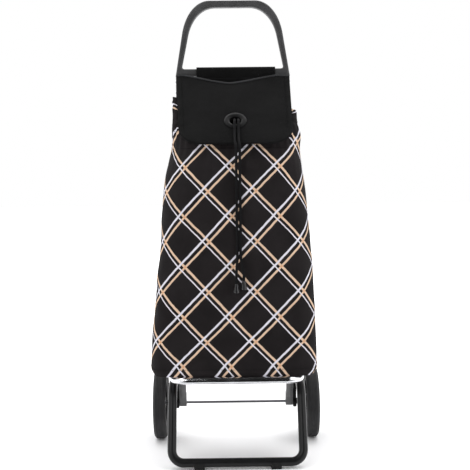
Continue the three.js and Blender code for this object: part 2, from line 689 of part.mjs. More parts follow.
add('bag_shell', bagShell(), bagFabric);
add('drawstring_channel', drawstringChannel(), blackFabric);
add('hanging_sleeve', hangingSleeve(), blackFabric);

// ---------- drawcord ----------
// Each strand comes up through the eyelet, lies down the flap, drops over its edge and hangs.
// Points on the flap are [distance down the slope, height over the outer face].
const ON_FLAP = [[150, -26], [153, -13], [155.5, -1], [160, 6.5], [168, 9], [180, 7.5], [194, 4.4], [210, 3.8], [222, 4]];
const HANGING_Z = [676, 655, 610, 550, 490, 440];
const CORD_LIE = 4.8; // from the bag's front to the middle of a strand

function tipDepth(strand) {
  return bagFront(strand.tipZ - TIP_HEIGHT) - TIP_RADIUS - 1;
}

function cordPoints(strand) {
  const points = ON_FLAP.map(([down, over]) => new THREE.Vector3(
    strand.eyeletX,
    FLAP_REAR[0] - down * Math.cos(FLAP_SLOPE) - over * Math.sin(FLAP_SLOPE),
    FLAP_REAR[1] - down * Math.sin(FLAP_SLOPE) + over * Math.cos(FLAP_SLOPE),
  ));
  for (const z of HANGING_Z) {
    const overEdge = 6 * Math.max(0, Math.min(1, (z - 560) / 90));
    points.push(new THREE.Vector3(strand.hangX, bagFront(z) - CORD_LIE - overEdge, z));
  }
  for (const above of [16, 8, GAP]) {
    points.push(new THREE.Vector3(strand.tipX, tipDepth(strand), strand.tipZ + above));
  }
  return points;
}

const STRANDS = {
  left: { eyeletX: 1.4, hangX: 3.6, tipX: 1.2, tipZ: 384.5 },
  right: { eyeletX: 9.8, hangX: 11.4, tipX: 17, tipZ: 391 },
};

function cordTip(strand) {
  const profile = [[0, -TIP_HEIGHT], [TIP_RADIUS, -TIP_HEIGHT], [TIP_RADIUS, -TIP_HEIGHT + 3],
    [5.6, -11], [4.4, -3], [3.6, 0], [0, 0]].map(([r, y]) => new THREE.Vector2(r, y));
  const tip = new THREE.LatheGeometry(profile, 14).rotateX(Math.PI / 2);
  return tip.translate(strand.tipX, tipDepth(strand), strand.tipZ);
}

for (const [word, strand] of Object.entries(STRANDS)) {
  const path = new THREE.CatmullRomCurve3(cordPoints(strand), false, 'centripetal');
  const cord = new THREE.ExtrudeGeometry(circle(CORD_RADIUS, 8), { steps: 38, extrudePath: path });
  add(`drawcord_${word}`, cord, cordFabric);
  add(`cord_tip_${word}`, cordTip(strand), darkSteel);
}

// ---------- the origin: on the floor, under the middle of the whole ----------
trolley.position.y = (WHEEL_RADIUS - (STAND_FOOT_Y - FOOT_HALF_DEPTH)) / 2 - WHEEL_RADIUS;
trolley.updateMatrixWorld(true);

export default trolley;
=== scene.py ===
"""A two-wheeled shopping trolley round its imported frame: cloth bag, flap, cords, tubes and wheels.

Lengths are written in millimetres, with depth counted from the wheel axle and negative to the
front. at() turns them into metres in the row frame, which is what Blender holds.
"""
from math import atan2, cos, dist, exp, hypot, pi, radians, sin, tan

import bmesh
import bpy
import numpy as np
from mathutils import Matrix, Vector, noise
from mathutils.geometry import tessellate_polygon


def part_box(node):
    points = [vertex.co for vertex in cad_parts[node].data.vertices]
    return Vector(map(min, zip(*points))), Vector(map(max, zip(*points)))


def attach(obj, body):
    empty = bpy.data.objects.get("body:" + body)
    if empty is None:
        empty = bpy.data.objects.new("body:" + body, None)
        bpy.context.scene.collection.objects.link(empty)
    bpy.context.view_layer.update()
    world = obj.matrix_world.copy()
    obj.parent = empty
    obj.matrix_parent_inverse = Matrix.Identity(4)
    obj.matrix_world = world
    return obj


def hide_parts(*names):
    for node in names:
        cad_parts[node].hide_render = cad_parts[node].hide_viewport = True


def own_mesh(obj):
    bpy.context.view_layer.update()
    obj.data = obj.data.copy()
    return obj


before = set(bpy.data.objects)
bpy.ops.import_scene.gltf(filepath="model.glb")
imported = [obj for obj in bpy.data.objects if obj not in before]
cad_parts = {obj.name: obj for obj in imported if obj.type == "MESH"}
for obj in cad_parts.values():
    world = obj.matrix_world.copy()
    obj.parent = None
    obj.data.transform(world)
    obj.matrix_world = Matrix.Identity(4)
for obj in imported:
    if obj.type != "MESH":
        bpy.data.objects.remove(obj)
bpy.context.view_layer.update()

MM = 0.001
AXLE_LOW, AXLE_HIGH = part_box("axle_rod")
AXLE_Y = (AXLE_LOW[1] + AXLE_HIGH[1]) / 2
SIDES = (("left", -1), ("right", 1))


def at(x, y, z):
    return (x * MM, AXLE_Y + y * MM, z * MM)


# ---------- driving dimensions, as in the CAD part ----------
WHEEL_RADIUS, WHEEL_X, TYRE_HALF_WIDTH, RIM_RADIUS = 82.5, 176.5, 15, 57
AXLE_RADIUS, AXLE_BORE, AXLE_HALF_LENGTH = 3, 3.3, 189
UPRIGHT_X, UPRIGHT_Y, UPRIGHT_WIDTH, UPRIGHT_DEPTH = 125, -14, 14, 22
UPRIGHT_FRONT, UPRIGHT_BACK = UPRIGHT_Y - UPRIGHT_DEPTH / 2, UPRIGHT_Y + UPRIGHT_DEPTH / 2
UPRIGHT_BOTTOM, CROSSBAR_BOTTOM, CROSSBAR_TOP = 150, 846, 863
RIVET_HEIGHTS = (("lower", 808), ("upper", 833))
PIVOT_Y, PIVOT_Z, EAR_RADIUS, PIN_HOLE_RADIUS = -52, 170, 13, 4.3
BRACKET_INNER_X, BRACKET_OUTER_X, EAR_OUTER_X, BOSS_X = 116.5, 133.5, 126.5, 133.9
TUBE_END_Y = -69
PLATFORM_X, PLATFORM_Z, PLATFORM_FRONT_Y, PLATFORM_RADIUS = 137, 179, -222, 8
STAND_X, STAND_Z, STAND_BEND_Y, STAND_RADIUS = 138.5, 159, -187, 9.5
STAND_FOOT_Y, STAND_FOOT_Z, FOOT_X, FOOT_HALF_WIDTH = -254, 13, 80.5, 11
BAG_BOTTOM, BAG_HEIGHT, BAG_BACK = 190.5, 600, -31
BAG_FRONT_BOTTOM, BAG_FRONT_SLOPE = -235, 0.091
BAG_MIDDLE_Y = (BAG_FRONT_BOTTOM + BAG_BACK) / 2
FLAP_REAR, FLAP_FRONT = (-32, 846.3), (-190, 683.6)
FLAP_REAR_HALF_WIDTH, FLAP_FRONT_HALF_WIDTH = 130.5, 123.5
FLAP_CORNER, FLAP_SKEW = 50, 5
NOTCH_HALF_WIDTH, NOTCH_DEPTH, NOTCH_SHIFT = 102, 29, 8
EYELET_DISTANCE, EYELET_RADIUS, EYELET_HOLE = 155.5, 25, 12.5
FLAP_LENGTH = dist(FLAP_REAR, FLAP_FRONT)
FLAP_SLOPE = atan2(FLAP_REAR[1] - FLAP_FRONT[1], FLAP_REAR[0] - FLAP_FRONT[0])
EYELET_X = FLAP_SKEW * EYELET_DISTANCE / FLAP_LENGTH
CORD_RADIUS, TIP_RADIUS, TIP_HEIGHT = 3, 6.5, 19


def add_object(name, data):
    made = bpy.data.objects.new(name, data)
    bpy.context.collection.objects.link(made)
    return made


# ---------- camera ----------
def make_camera():
    """From the front, level with the bag's upper part, and very slightly tilted to one side."""
    data = bpy.data.cameras.new("camera")
    data.sensor_width, data.lens = 36, 72.44
    data.shift_y = -0.055
    camera = add_object("camera", data)
    camera.location = at(-20, -2220, 595.3)
    pitch, roll, yaw = 1.508, 0.613, -0.585
    camera.rotation_euler = (radians(90 - pitch), radians(roll), radians(yaw))
    bpy.context.scene.camera = camera


make_camera()


# ---------- lines and outlines ----------
CIRCLE_PULL = 0.5523  # how far a cubic curve's handles reach to follow a quarter circle


def bezier(a, b, c, d, steps):
    """Points on the cubic curve from a to d, with both ends."""
    a, b, c, d = (np.array(p, float) for p in (a, b, c, d))
    for t in np.linspace(0, 1, steps + 1):
        s = 1 - t
        yield s**3 * a + 3 * s * s * t * b + 3 * s * t * t * c + t**3 * d


def rounded(points, radius, steps=6, closed=True):
    """A line of points with each corner replaced by a curve that starts a radius away from it."""
    points = [np.array(p, float) for p in points]
    count, out = len(points), []
    for i, corner in enumerate(points):
        size = radius[i] if hasattr(radius, "__len__") else radius
        if size == 0 or (not closed and i in (0, count - 1)):
            out.append(corner)
            continue
        before, after = points[i - 1] - corner, points[(i + 1) % count] - corner
        start = corner + before * min(size / np.linalg.norm(before), 0.499)
        end = corner + after * min(size / np.linalg.norm(after), 0.499)
        pull_in, pull_out = (p + (corner - p) * CIRCLE_PULL for p in (start, end))
        out += bezier(start, pull_in, pull_out, end, steps)
    return out


def arc(cx, cy, radius, start, end, steps=16):
    angles = np.linspace(start, end, steps + 1)
    return [(cx + radius * cos(t), cy + radius * sin(t)) for t in angles]


def turn_steps(count):
    return np.linspace(0, 2 * np.pi, count, endpoint=False)


def circle(radius, segments=24, flat=1.0):
    return [(radius * cos(t), radius * flat * sin(t)) for t in turn_steps(segments)]


def rounded_rectangle(width, depth, radius, steps=6):
    w, d = width / 2, depth / 2
    return rounded([(-w, -d), (w, -d), (w, d), (-w, d)], radius, steps)


def placed(outline, depth, axis):
    """A flat outline as points in space, at a depth along an axis."""
    flat = np.full(len(outline), float(depth))
    u, v = outline[:, 0], outline[:, 1]
    return np.stack({"x": (flat, u, v), "y": (u, flat, v), "z": (u, v, flat)}[axis], 1)


def along_lengths(points):
    """The distance along a line to each of its points."""
    return np.concatenate([[0], np.cumsum(np.linalg.norm(np.diff(points, axis=0), axis=1))])


def spread(points, spacing):
    """The same line with points at an even spacing."""
    points = np.array(points, float)
    lengths = along_lengths(points)
    count = max(2, round(lengths[-1] / spacing) + 1)
    wanted = np.linspace(0, lengths[-1], count)
    return np.stack([np.interp(wanted, lengths, points[:, k]) for k in range(points.shape[1])], 1)


def unit(vectors):
    return vectors / np.maximum(np.linalg.norm(vectors, axis=-1, keepdims=True), 1e-9)


def soft(x):
    """An eased step from 0 to 1."""
    x = np.clip(x, 0, 1)
    return x * x * (3 - 2 * x)


def rough(x, y, z, size, seed):
    """Smooth noise from -1 to 1 at a point in millimetres, with bumps of about that size."""
    return noise.noise(Vector((x / size + seed, y / size - seed, z / size + 2 * seed)))


# ---------- meshes ----------
MERGE_DISTANCE = 2e-6
STITCH_SUNK = 0.15


class Shape:
    """Points, in millimetres, and faces gathered into one piece."""

    def __init__(self):
        self.points, self.faces, self.corners = [], [], []

    def add(self, points, faces, cloth=None):
        """cloth holds each point's place on the flat cloth, for the weave and the print."""
        start = len(self.points)
        self.points += [tuple(p) for p in points]
        for face in faces:
            self.faces.append([i + start for i in face])
            self.corners += [tuple(cloth[i]) if cloth is not None else (0, 0) for i in face]
        return self

    def grid(self, rows, around=True, caps=True, cloth=None, skip=None):
        """Faces between rows of points. around closes each row, and caps close the first and last."""
        across, faces = len(rows[0]), []
        for j in range(len(rows) - 1):
            for i in range(across if around else across - 1):
                if skip is None or not skip(i, j):
                    a, b = j * across + i, j * across + (i + 1) % across
                    faces.append((a, b, b + across, a + across))
        if caps:
            last = (len(rows) - 1) * across
            faces += [range(across), range(last, last + across)]
        flat = None if cloth is None else [c for row in cloth for c in row]
        return self.add([p for row in rows for p in row], faces, flat)

    def turned(self, profile, centre, axis="x", segments=64, closed=True):
        """A form turned round an axis: the profile is [radius, distance along the axis]."""
        angles = turn_steps(segments)
        rows = []
        for radius, along in list(profile) + ([profile[0]] if closed else []):
            c, s, flat = radius * np.cos(angles), radius * np.sin(angles), np.full(segments, float(along))
            rows.append(np.stack({"x": (flat, c, s), "z": (c, s, flat)}[axis], 1) + np.array(centre))
        return self.grid(rows, caps=not closed)

    def slab(self, outlines, low, high, edge=1.0, steps=3, axis="y"):
        """A plate with rounded edges. The first outline runs counter-clockwise, and holes clockwise."""
        outlines = [np.array(o, float) for o in outlines]
        turns = [(edge * (1 - sin(t)), edge * (1 - cos(t)))
                 for t in np.linspace(0, np.pi / 2, steps + 1)]
        levels = [(inset, low + deep) for inset, deep in turns]
        levels += [(inset, high - deep) for inset, deep in reversed(turns)]
        insides = []
        for outline in outlines:
            ahead = unit(np.roll(outline, -1, 0) - outline)
            normal = np.stack([-ahead[:, 1], ahead[:, 0]], 1)
            before = np.roll(normal, 1, 0)
            sharpest = np.maximum(1 + (normal * before).sum(1, keepdims=True), 0.3)
            miter = (normal + before) / sharpest
            rows = [placed(outline + miter * inset, depth, axis) for inset, depth in levels]
            self.grid(rows, caps=False)
            insides.append(outline + miter * edge)
        triangles = tessellate_polygon([[Vector((*p, 0)) for p in o] for o in insides])
        cap = np.concatenate(insides)
        for depth in (low, high):
            self.add(placed(cap, depth, axis), triangles)
        return self

    def sweep(self, path, section, around_path=False, up=(0, 0, 1)):
        """A section carried along a path. section is [side, up] points, or gives them for a step."""
        path = np.array(path, float)
        ahead = np.roll(path, -1, 0) - np.roll(path, 1, 0) if around_path else np.gradient(path, axis=0)
        rows, lift = [], np.array(up, float)
        for i, (point, tangent) in enumerate(zip(path, unit(ahead))):
            lift = unit(lift - tangent * (lift @ tangent))
            side = np.cross(tangent, lift)
            offsets = section(i) if callable(section) else section
            rows.append([point + side * a + lift * b for a, b in offsets])
        if around_path:
            rows.append(rows[0])
        return self.grid(rows, caps=not around_path)

    def mirrored(self):
        twin = Shape()
        twin.points = [(-x, y, z) for x, y, z in self.points]
        twin.faces, twin.corners = self.faces, self.corners
        return twin

    def make(self, name, slot, replaces="", body="frame", crease=35, wall=0):
        """The piece in Blender. A wall above 0 thickens it inwards, and one below 0 outwards."""
        mesh = bpy.data.meshes.new(name)
        mesh.from_pydata([at(*p) for p in self.points], [], self.faces)
        layer = mesh.uv_layers.new(name="cloth")
        layer.data.foreach_set("uv", np.array(self.corners, float).ravel() * MM)
        work = bmesh.new()
        work.from_mesh(mesh)
        bmesh.ops.remove_doubles(work, verts=work.verts, dist=MERGE_DISTANCE)
        bmesh.ops.recalc_face_normals(work, faces=work.faces)
        work.to_mesh(mesh)
        work.free()
        mesh.polygons.foreach_set("use_smooth", [True] * len(mesh.polygons))
        mesh.set_sharp_from_angle(angle=radians(crease))
        piece = add_object(name, mesh)
        mesh.materials.append(LOOKS[slot])
        if wall:
            thick = piece.modifiers.new("wall", "SOLIDIFY")
            thick.thickness, thick.offset = abs(wall) * MM, -1 if wall > 0 else 1
            solid = piece.evaluated_get(bpy.context.evaluated_depsgraph_get())
            final = bpy.data.meshes.new_from_object(solid)
            piece.modifiers.clear()
            piece.data = final
            final.name = name
        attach(piece, body)
        if replaces:
            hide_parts(replaces)
        return piece

    def make_for(self, word, name, slot, replaces, **more):
        """A piece for one side: it is drawn for the right, and mirrored for the left."""
        shape = self.mirrored() if word == "left" else self
        return shape.make(f"{word}_{name}", slot, f"{word}_{replaces}", **more)


def stitches(shape, path, outward, length=3.2, gap=1.6, radius=0.45):
    """A row of thread stitches lying on a surface: path points and the surface's outward direction."""
    path, outward = np.array(path, float), unit(np.array(outward, float))
    lengths = along_lengths(path)

    def sample(values, where):
        return np.array([np.interp(where, lengths, values[:, k]) for k in range(3)])

    where = gap
    while where + length < lengths[-1]:
        start, end = sample(path, where), sample(path, where + length)
        ahead, lift = unit(end - start), unit(sample(outward, where))
        side = np.cross(ahead, lift)
        rows = []
        for t in np.linspace(0, 1, 5):
            thick = radius * (0.35 + 0.65 * sin(pi * t))
            spot = start + (end - start) * t + lift * (thick * 0.5 - STITCH_SUNK)
            rows.append([spot + side * a * thick + lift * b * thick for a, b in circle(1, 6)])
        shape.grid(rows)
        where += length + gap


# ---------- materials ----------
class Look:
    """A Principled material, with short ways to add nodes to it."""

    def __init__(self, name, color, metal=0.0):
        self.material = bpy.data.materials.new(name)
        self.material.use_nodes = True
        self.tree = self.material.node_tree
        self.shader = self.tree.nodes["Principled BSDF"]
        self.shader.inputs["Metallic"].default_value = metal
        self.color = color
        LOOKS[name] = self.material

    def node(self, kind, settings=None, inputs=None):
        made = self.tree.nodes.new("ShaderNode" + kind)
        for key, value in (settings or {}).items():
            setattr(made, key, value)
        for key, value in (inputs or {}).items():
            self.put(made.inputs[key], value)
        return made

    def put(self, socket, value):
        if isinstance(value, bpy.types.NodeSocket):
            self.tree.links.new(value, socket)
        else:
            socket.default_value = value

    def calc(self, operation, a, b=0.0, c=0.0):
        return self.node("Math", {"operation": operation}, {0: a, 1: b, 2: c}).outputs[0]

    def ramp(self, value, low, high, to_low=0.0, to_high=1.0):
        """A smooth change from to_low to to_high as the value goes from low to high."""
        inputs = {0: value, 1: low, 2: high, 3: to_low, 4: to_high}
        return self.node("MapRange", {"interpolation_type": "SMOOTHSTEP"}, inputs).outputs[0]

    def mix(self, amount, a, b):
        return self.node("Mix", {"data_type": "RGBA"}, {0: amount, 6: a, 7: b}).outputs[2]

    def place(self):
        return self.node("TexCoord").outputs["Object"]

    def cloth(self):
        return self.node("UVMap", {"uv_map": "cloth"}).outputs[0]

    def noise(self, place, size, detail=2.0, stretch=(1, 1, 1)):
        """Noise with bumps of about that size in millimetres."""
        scale = tuple(s / (size * MM) for s in stretch)
        scaled = self.node("Mapping", None, {"Vector": place, "Scale": scale})
        made = self.node("TexNoise", None, {"Vector": scaled.outputs[0], "Scale": 1.0, "Detail": detail})
        return made.outputs[0]

    def shade(self, color, roughness, height=None, depth=0.1):
        """Colour and roughness, and a height in parts of a depth in millimetres."""
        self.put(self.shader.inputs["Base Color"], color)
        self.put(self.shader.inputs["Roughness"], roughness)
        if height is not None:
            bump = self.node("Bump", None, {"Strength": 1.0, "Distance": depth * MM, "Height": height})
            self.put(self.shader.inputs["Normal"], bump.outputs[0])

    def set(self, **values):
        for key, value in values.items():
            self.shader.inputs[key.replace("_", " ")].default_value = value


LOOKS = {}
LINT = (0.2, 0.2, 0.21, 1)


def tint(color, factor):
    return (*(c * factor for c in color), 1.0)


def mottled(look, amount, color, dark, light):
    """The colour from a darker to a lighter tint, by a noise that is mostly between 0.3 and 0.7."""
    return look.mix(look.ramp(amount, 0.3, 0.7), tint(color, dark), tint(color, light))


def moulded(name, color, roughness, grain=0.35, depth=0.03, coat=0.0, gloss=0.25):
    """Moulded plastic or rubber: a fine grain, faint mottling and handling marks in the gloss."""
    look = Look(name, color)
    place = look.place()
    mottle, fine = look.noise(place, 45, 3), look.noise(place, grain * 2.2, 1)
    marks = look.noise(place, 9, 4, (1, 1, 0.3))
    base = mottled(look, mottle, color, 0.82, 1.16)
    base = look.mix(look.ramp(marks, 0.62, 0.8, 0, 0.25), base, tint(color, 1.7))
    look.shade(base, look.ramp(marks, 0.3, 0.75, roughness - 0.05, roughness + 0.1), fine, depth)
    look.set(Coat_Weight=coat, Coat_Roughness=0.12, Specular_IOR_Level=gloss)


def painted(name, color, roughness):
    """Powder coat: an orange-peel surface over metal."""
    look = Look(name, color, 0.1)
    place = look.place()
    peel, wear = look.noise(place, 2.2, 2), look.noise(place, 18, 4)
    base = look.mix(look.ramp(wear, 0.35, 0.7), tint(color, 0.9), tint(color, 1.15))
    look.shade(base, look.ramp(wear, 0.3, 0.7, roughness - 0.02, roughness + 0.04), peel, 0.03)
    look.set(Specular_IOR_Level=0.3)


def metal(name, color, roughness, stretch):
    """Drawn or brushed metal: fine lines along the tube, and soft cloudy handling marks."""
    look = Look(name, color, 1.0)
    place = look.place()
    lines, cloud = look.noise(place, 0.5, 1, stretch), look.noise(place, 22, 3)
    base = mottled(look, cloud, color, 0.9, 1.05)
    look.shade(base, look.ramp(cloud, 0.25, 0.8, roughness - 0.03, roughness + 0.08), lines, 0.006)


def woven(name, color, roughness, thread=1.1, twill=False, fuzz=0.15):
    """Plain or twill cloth: crossing threads over the flat cloth, and a little lint."""
    look = Look(name, color)
    height = weave(look, thread, twill)
    place = look.place()
    cloud, lint = look.noise(place, 60, 3), look.noise(place, 1.4, 2, (1, 1, 0.25))
    base = mottled(look, cloud, color, 0.8, 1.2)
    # Painted highlight and shade: the colour is lighter on the raised thread crowns and darker in the gaps
    # between threads, by the weave's height.
    base = look.mix(look.calc("MULTIPLY", height, 0.35), base, tint(color, 1.9))
    base = look.mix(look.ramp(lint, 0.66, 0.78, 0, fuzz), base, LINT)
    look.shade(base, roughness, height, 0.22)
    look.set(Sheen_Weight=0.015, Sheen_Roughness=0.5, Specular_IOR_Level=0.06)


def weave(look, thread, twill=False):
    """The height of crossing threads, from 0 to 1, over the flat cloth."""
    parts = look.node("SeparateXYZ", None, {0: look.cloth()})
    u, v = (look.calc("MULTIPLY", parts.outputs[k], pi / (thread * MM)) for k in (0, 1))
    if twill:
        u = look.calc("ADD", u, look.calc("MULTIPLY", v, 0.5))
    over = look.calc("MULTIPLY", look.calc("SINE", u), look.calc("SINE", v))
    return look.calc("ADD", look.calc("MULTIPLY", over, 0.5), 0.5)


# The print: a diamond lattice of lines, each a white line with a beige one beside it.
PRINT_WIDTH, PRINT_HEIGHT = 102.8, 107.5
PRINT_X, PRINT_Z, PRINT_BLUR = -20.4, 421.1, 0.3
PRINT_SPACING = 1 / hypot(1 / PRINT_WIDTH, 1 / PRINT_HEIGHT)
BEIGE, WHITE = (0.66, 0.475, 0.34, 1), (0.66, 0.655, 0.73, 1)
BEIGE_CROSSING = (0.62, 0.34, 0.19, 1)


def checked_cloth():
    """The bag's cloth. Line places and widths are in millimetres across the lines."""
    look = Look("bag_fabric", (0.0108, 0.0092, 0.0096))
    height = weave(look, 0.9)
    flat = look.cloth()
    waver = look.noise(flat, 14, 2)
    parts = look.node("SeparateXYZ", None, {0: flat})
    a, b = (look.calc("DIVIDE", look.calc("SUBTRACT", parts.outputs[k], start * MM), size * MM)
            for k, start, size in ((0, PRINT_X, PRINT_WIDTH), (1, PRINT_Z, PRINT_HEIGHT)))
    shake = look.ramp(waver, 0.3, 0.7, -0.004, 0.004)
    rising = look.calc("ADD", look.calc("SUBTRACT", a, b), shake)
    falling = look.calc("SUBTRACT", look.calc("ADD", a, b), shake)

    def line(across, offset, width):
        """1 on a line of the lattice, with blurred edges."""
        shifted = look.calc("FRACT", look.calc("ADD", across, 0.5 - offset / PRINT_SPACING + 10))
        off = look.calc("ABSOLUTE", look.calc("SUBTRACT", shifted, 0.5))
        half, blur = width / 2 / PRINT_SPACING, PRINT_BLUR / PRINT_SPACING
        return look.ramp(off, half - blur, half + blur, 1, 0)

    white = look.calc("MAXIMUM", line(rising, 0, 4.3), line(falling, 0, 2.7))
    beige_rising, beige_falling = line(rising, 11.6, 4.4), line(falling, 9.9, 4.8)
    beige = look.calc("MAXIMUM", beige_rising, beige_falling)
    both = look.calc("MULTIPLY", beige_rising, beige_falling)
    cloud = look.noise(look.place(), 70, 3)
    ground = mottled(look, cloud, look.color, 0.8, 1.3)
    # Painted highlight and shade: the ground is lighter on the raised thread crowns and darker in the gaps
    # between threads, by the weave's height.
    ground = look.mix(look.calc("MULTIPLY", height, 0.3), ground, tint(look.color, 2.2))
    ink = look.mix(white, look.mix(both, BEIGE, BEIGE_CROSSING), WHITE)
    threads = look.mix(look.calc("MULTIPLY", height, 0.12), ink, tint(BEIGE[:3], 0.5))
    covered = look.calc("MAXIMUM", white, beige)
    look.shade(look.mix(covered, ground, threads), look.ramp(covered, 0, 1, 0.82, 0.7), height, 0.16)
    look.set(Specular_IOR_Level=0.08)


def braided():
    look = Look("cord_fabric", (0.0045, 0.0045, 0.005))
    place = look.place()
    fibre = look.noise(place, 0.5, 2, (1, 1, 0.3))
    base = look.mix(look.ramp(fibre, 0.35, 0.7), tint(look.color, 0.6), tint(look.color, 2.2))
    look.shade(base, 0.75, fibre, 0.08)
    look.set(Sheen_Weight=0.01, Sheen_Roughness=0.5, Specular_IOR_Level=0.1)


moulded("handle_plastic", (0.046, 0.046, 0.047), 0.42, 0.5, 0.03)
painted("black_paint", (0.0065, 0.0065, 0.007), 0.3)
metal("polished_aluminium", (0.86, 0.865, 0.89), 0.13, (0.2, 1, 1))
moulded("grey_plastic", (0.16, 0.161, 0.162), 0.45, 0.5, 0.03)
moulded("black_plastic", (0.006, 0.006, 0.0063), 0.45, 0.5, 0.04, 0, 0.14)
metal("dark_steel", (0.22, 0.22, 0.235), 0.3, (0.1, 1, 1))
moulded("tyre_rubber", (0.029, 0.029, 0.03), 0.72, 0.9, 0.12)
moulded("foot_rubber", (0.012, 0.012, 0.012), 0.8, 0.7, 0.08)
checked_cloth()
woven("black_fabric", (0.0042, 0.0042, 0.0043), 0.85, 1.0)
woven("piping", (0.03, 0.0305, 0.032), 0.8, 0.7, True, 0.05)
moulded("board_plastic", (0.02, 0.02, 0.021), 0.6, 1.2, 0.08)
braided()
moulded("cord_tip", (0.012, 0.012, 0.013), 0.16, 3, 0.004, 0.6)


# ---------- drawcords ----------
# The same route as in the CAD part: [distance down the flap, height over it], then down the front.
ON_FLAP = ((150, -26), (153, -13), (155.5, -1), (160, 6.5), (168, 9), (180, 7.5), (194, 4.4), (210, 3.8),
           (222, 4))
HANGING_Z = (676, 655, 610, 550, 490, 440)
CORD_LIE = 4.8  # how far the cords' middles hang in front of the bag
STRANDS = {
    "left": {"eyelet_x": 1.4, "hang_x": 3.6, "tip_x": 1.2, "tip_z": 384.5},
    "right": {"eyelet_x": 9.8, "hang_x": 11.4, "tip_x": 17, "tip_z": 391},
}
COS_SLOPE, SIN_SLOPE = cos(FLAP_SLOPE), sin(FLAP_SLOPE)


def on_flap(x, down, over=0.0):
    """A point by its distance down the flap's plane and its height over it."""
    return np.array([
        x,
        FLAP_REAR[0] - down * COS_SLOPE - over * SIN_SLOPE,
        FLAP_REAR[1] - down * SIN_SLOPE + over * COS_SLOPE,
    ])


def front_depth(z):
    return BAG_FRONT_BOTTOM + BAG_FRONT_SLOPE * (z - BAG_BOTTOM)


def tip_depth(strand):
    return front_depth(strand["tip_z"] - TIP_HEIGHT) - TIP_RADIUS - 1


def cord_route(strand):
    points = [on_flap(strand["eyelet_x"], down, over) for down, over in ON_FLAP]
    for z in HANGING_Z:
        over_edge = 6 * min(1, max(0, (z - 560) / 90))
        points.append((strand["hang_x"], front_depth(z) - CORD_LIE - over_edge, z))
    for above in (16, 8, 0.3):
        points.append((strand["tip_x"], tip_depth(strand), strand["tip_z"] + above))
    return np.array(points, float)


def through(points, per_span=14, spacing=1.1):
    """A smooth centripetal curve through points."""
    ends = np.vstack([2 * points[0] - points[1], points, 2 * points[-1] - points[-2]])
    out = []
    for four in zip(ends, ends[1:], ends[2:], ends[3:]):
        knots = [0.0]
        for p, q in zip(four, four[1:]):
            knots.append(knots[-1] + np.linalg.norm(q - p) ** 0.5)
        for t in np.linspace(knots[1], knots[2], per_span, endpoint=False):
            row = four
            for spans in (((0, 1), (1, 2), (2, 3)), ((0, 2), (1, 3)), ((1, 2),)):
                row = [(knots[b] - t) / (knots[b] - knots[a]) * p + (t - knots[a]) / (knots[b] - knots[a]) * q
                       for (a, b), p, q in zip(spans, row, row[1:])]
            out += row
    out.append(points[-1])
    return spread(out, spacing)


BRAID_POINTS, BRAID_STRANDS, BRAID_TWIST, BRAID_RIDGE = 20, 4, 0.55, 0.16


def braid(step):
    """The section of a braided cord: two sets of strands wind round it in opposite ways."""
    out = []
    for k in range(BRAID_POINTS):
        turn = 2 * pi * k / BRAID_POINTS
        wound, twist = BRAID_STRANDS * turn, step * BRAID_TWIST
        ridge = sin(wound + twist) * sin(wound - twist)
        radius = CORD_RADIUS - 0.14 + BRAID_RIDGE * ridge
        out.append((radius * cos(turn), radius * sin(turn)))
    return out


BELL_PROFILE = rounded(
    [(0.01, 2.5 - TIP_HEIGHT), (3.4, 2.5 - TIP_HEIGHT), (4.6, -TIP_HEIGHT), (TIP_RADIUS, -TIP_HEIGHT),
     (TIP_RADIUS, 3.5 - TIP_HEIGHT), (5.5, -11), (4.3, -4), (3.7, 0), (0.01, 0)],
    [0, 0.8, 0.8, 0.9, 2.5, 3, 3, 1.2, 0], 5, closed=False)
CORD_TOP = 732  # a height on the cords
CORDS = []


def cord_parts(word, strand):
    end = (strand["tip_x"], tip_depth(strand), strand["tip_z"])
    tip = Shape().turned(BELL_PROFILE, end, "z", 40, closed=False)
    ending = tip.make(f"bell_{word}", "cord_tip", f"cord_tip_{word}", crease=60)
    route = through(cord_route(strand))
    cord = Shape().sweep(route, braid, up=(1, 0, 0))
    rope = cord.make(f"cord_{word}", "cord_fabric", f"drawcord_{word}", crease=80)
    CORDS.extend([rope, ending])


for word, strand in STRANDS.items():
    cord_parts(word, strand)


# ---------- handle ----------
# Half of each arched outline: the foot and knee of its leg, then a curve over to the flat top.
OUTER_ARCH = {"foot": 132.4, "knee": (116.5, 944), "rise": 45, "reach": 32, "flat": 52, "top": 1020.5}
INNER_ARCH = {"foot": 118.3, "knee": (102.6, 940), "rise": 40, "reach": 30, "flat": 40, "top": 1004.5}
GRIP_CORNER, GRIP_EDGE = 7, 5


def arch_line(arch, bottom):
    """From the right foot up and over to the left foot."""
    knee = arch["knee"]
    lean = (arch["foot"] - knee[0]) / (knee[1] - bottom)
    ease = hypot(lean, 1)
    rise = (knee[0] - arch["rise"] * lean / ease, knee[1] + arch["rise"] / ease)
    reach, flat = ((x, arch["top"]) for x in (arch["flat"] + arch["reach"], arch["flat"]))
    half = [(arch["foot"], bottom), *bezier(knee, rise, reach, flat, 22)]
    return half + [(-x, z) for x, z in reversed(half)]


def handle():
    shape = Shape()
    outer = arch_line(OUTER_ARCH, CROSSBAR_BOTTOM)
    inner = arch_line(INNER_ARCH, CROSSBAR_TOP)
    inner = rounded(inner, [GRIP_CORNER] + [0] * (len(inner) - 2) + [GRIP_CORNER])
    shape.slab([outer, inner[::-1]], UPRIGHT_FRONT, UPRIGHT_BACK, GRIP_EDGE, 6)
    shape.make("handle_grip", "handle_plastic", "handle_arch", crease=50)


handle()


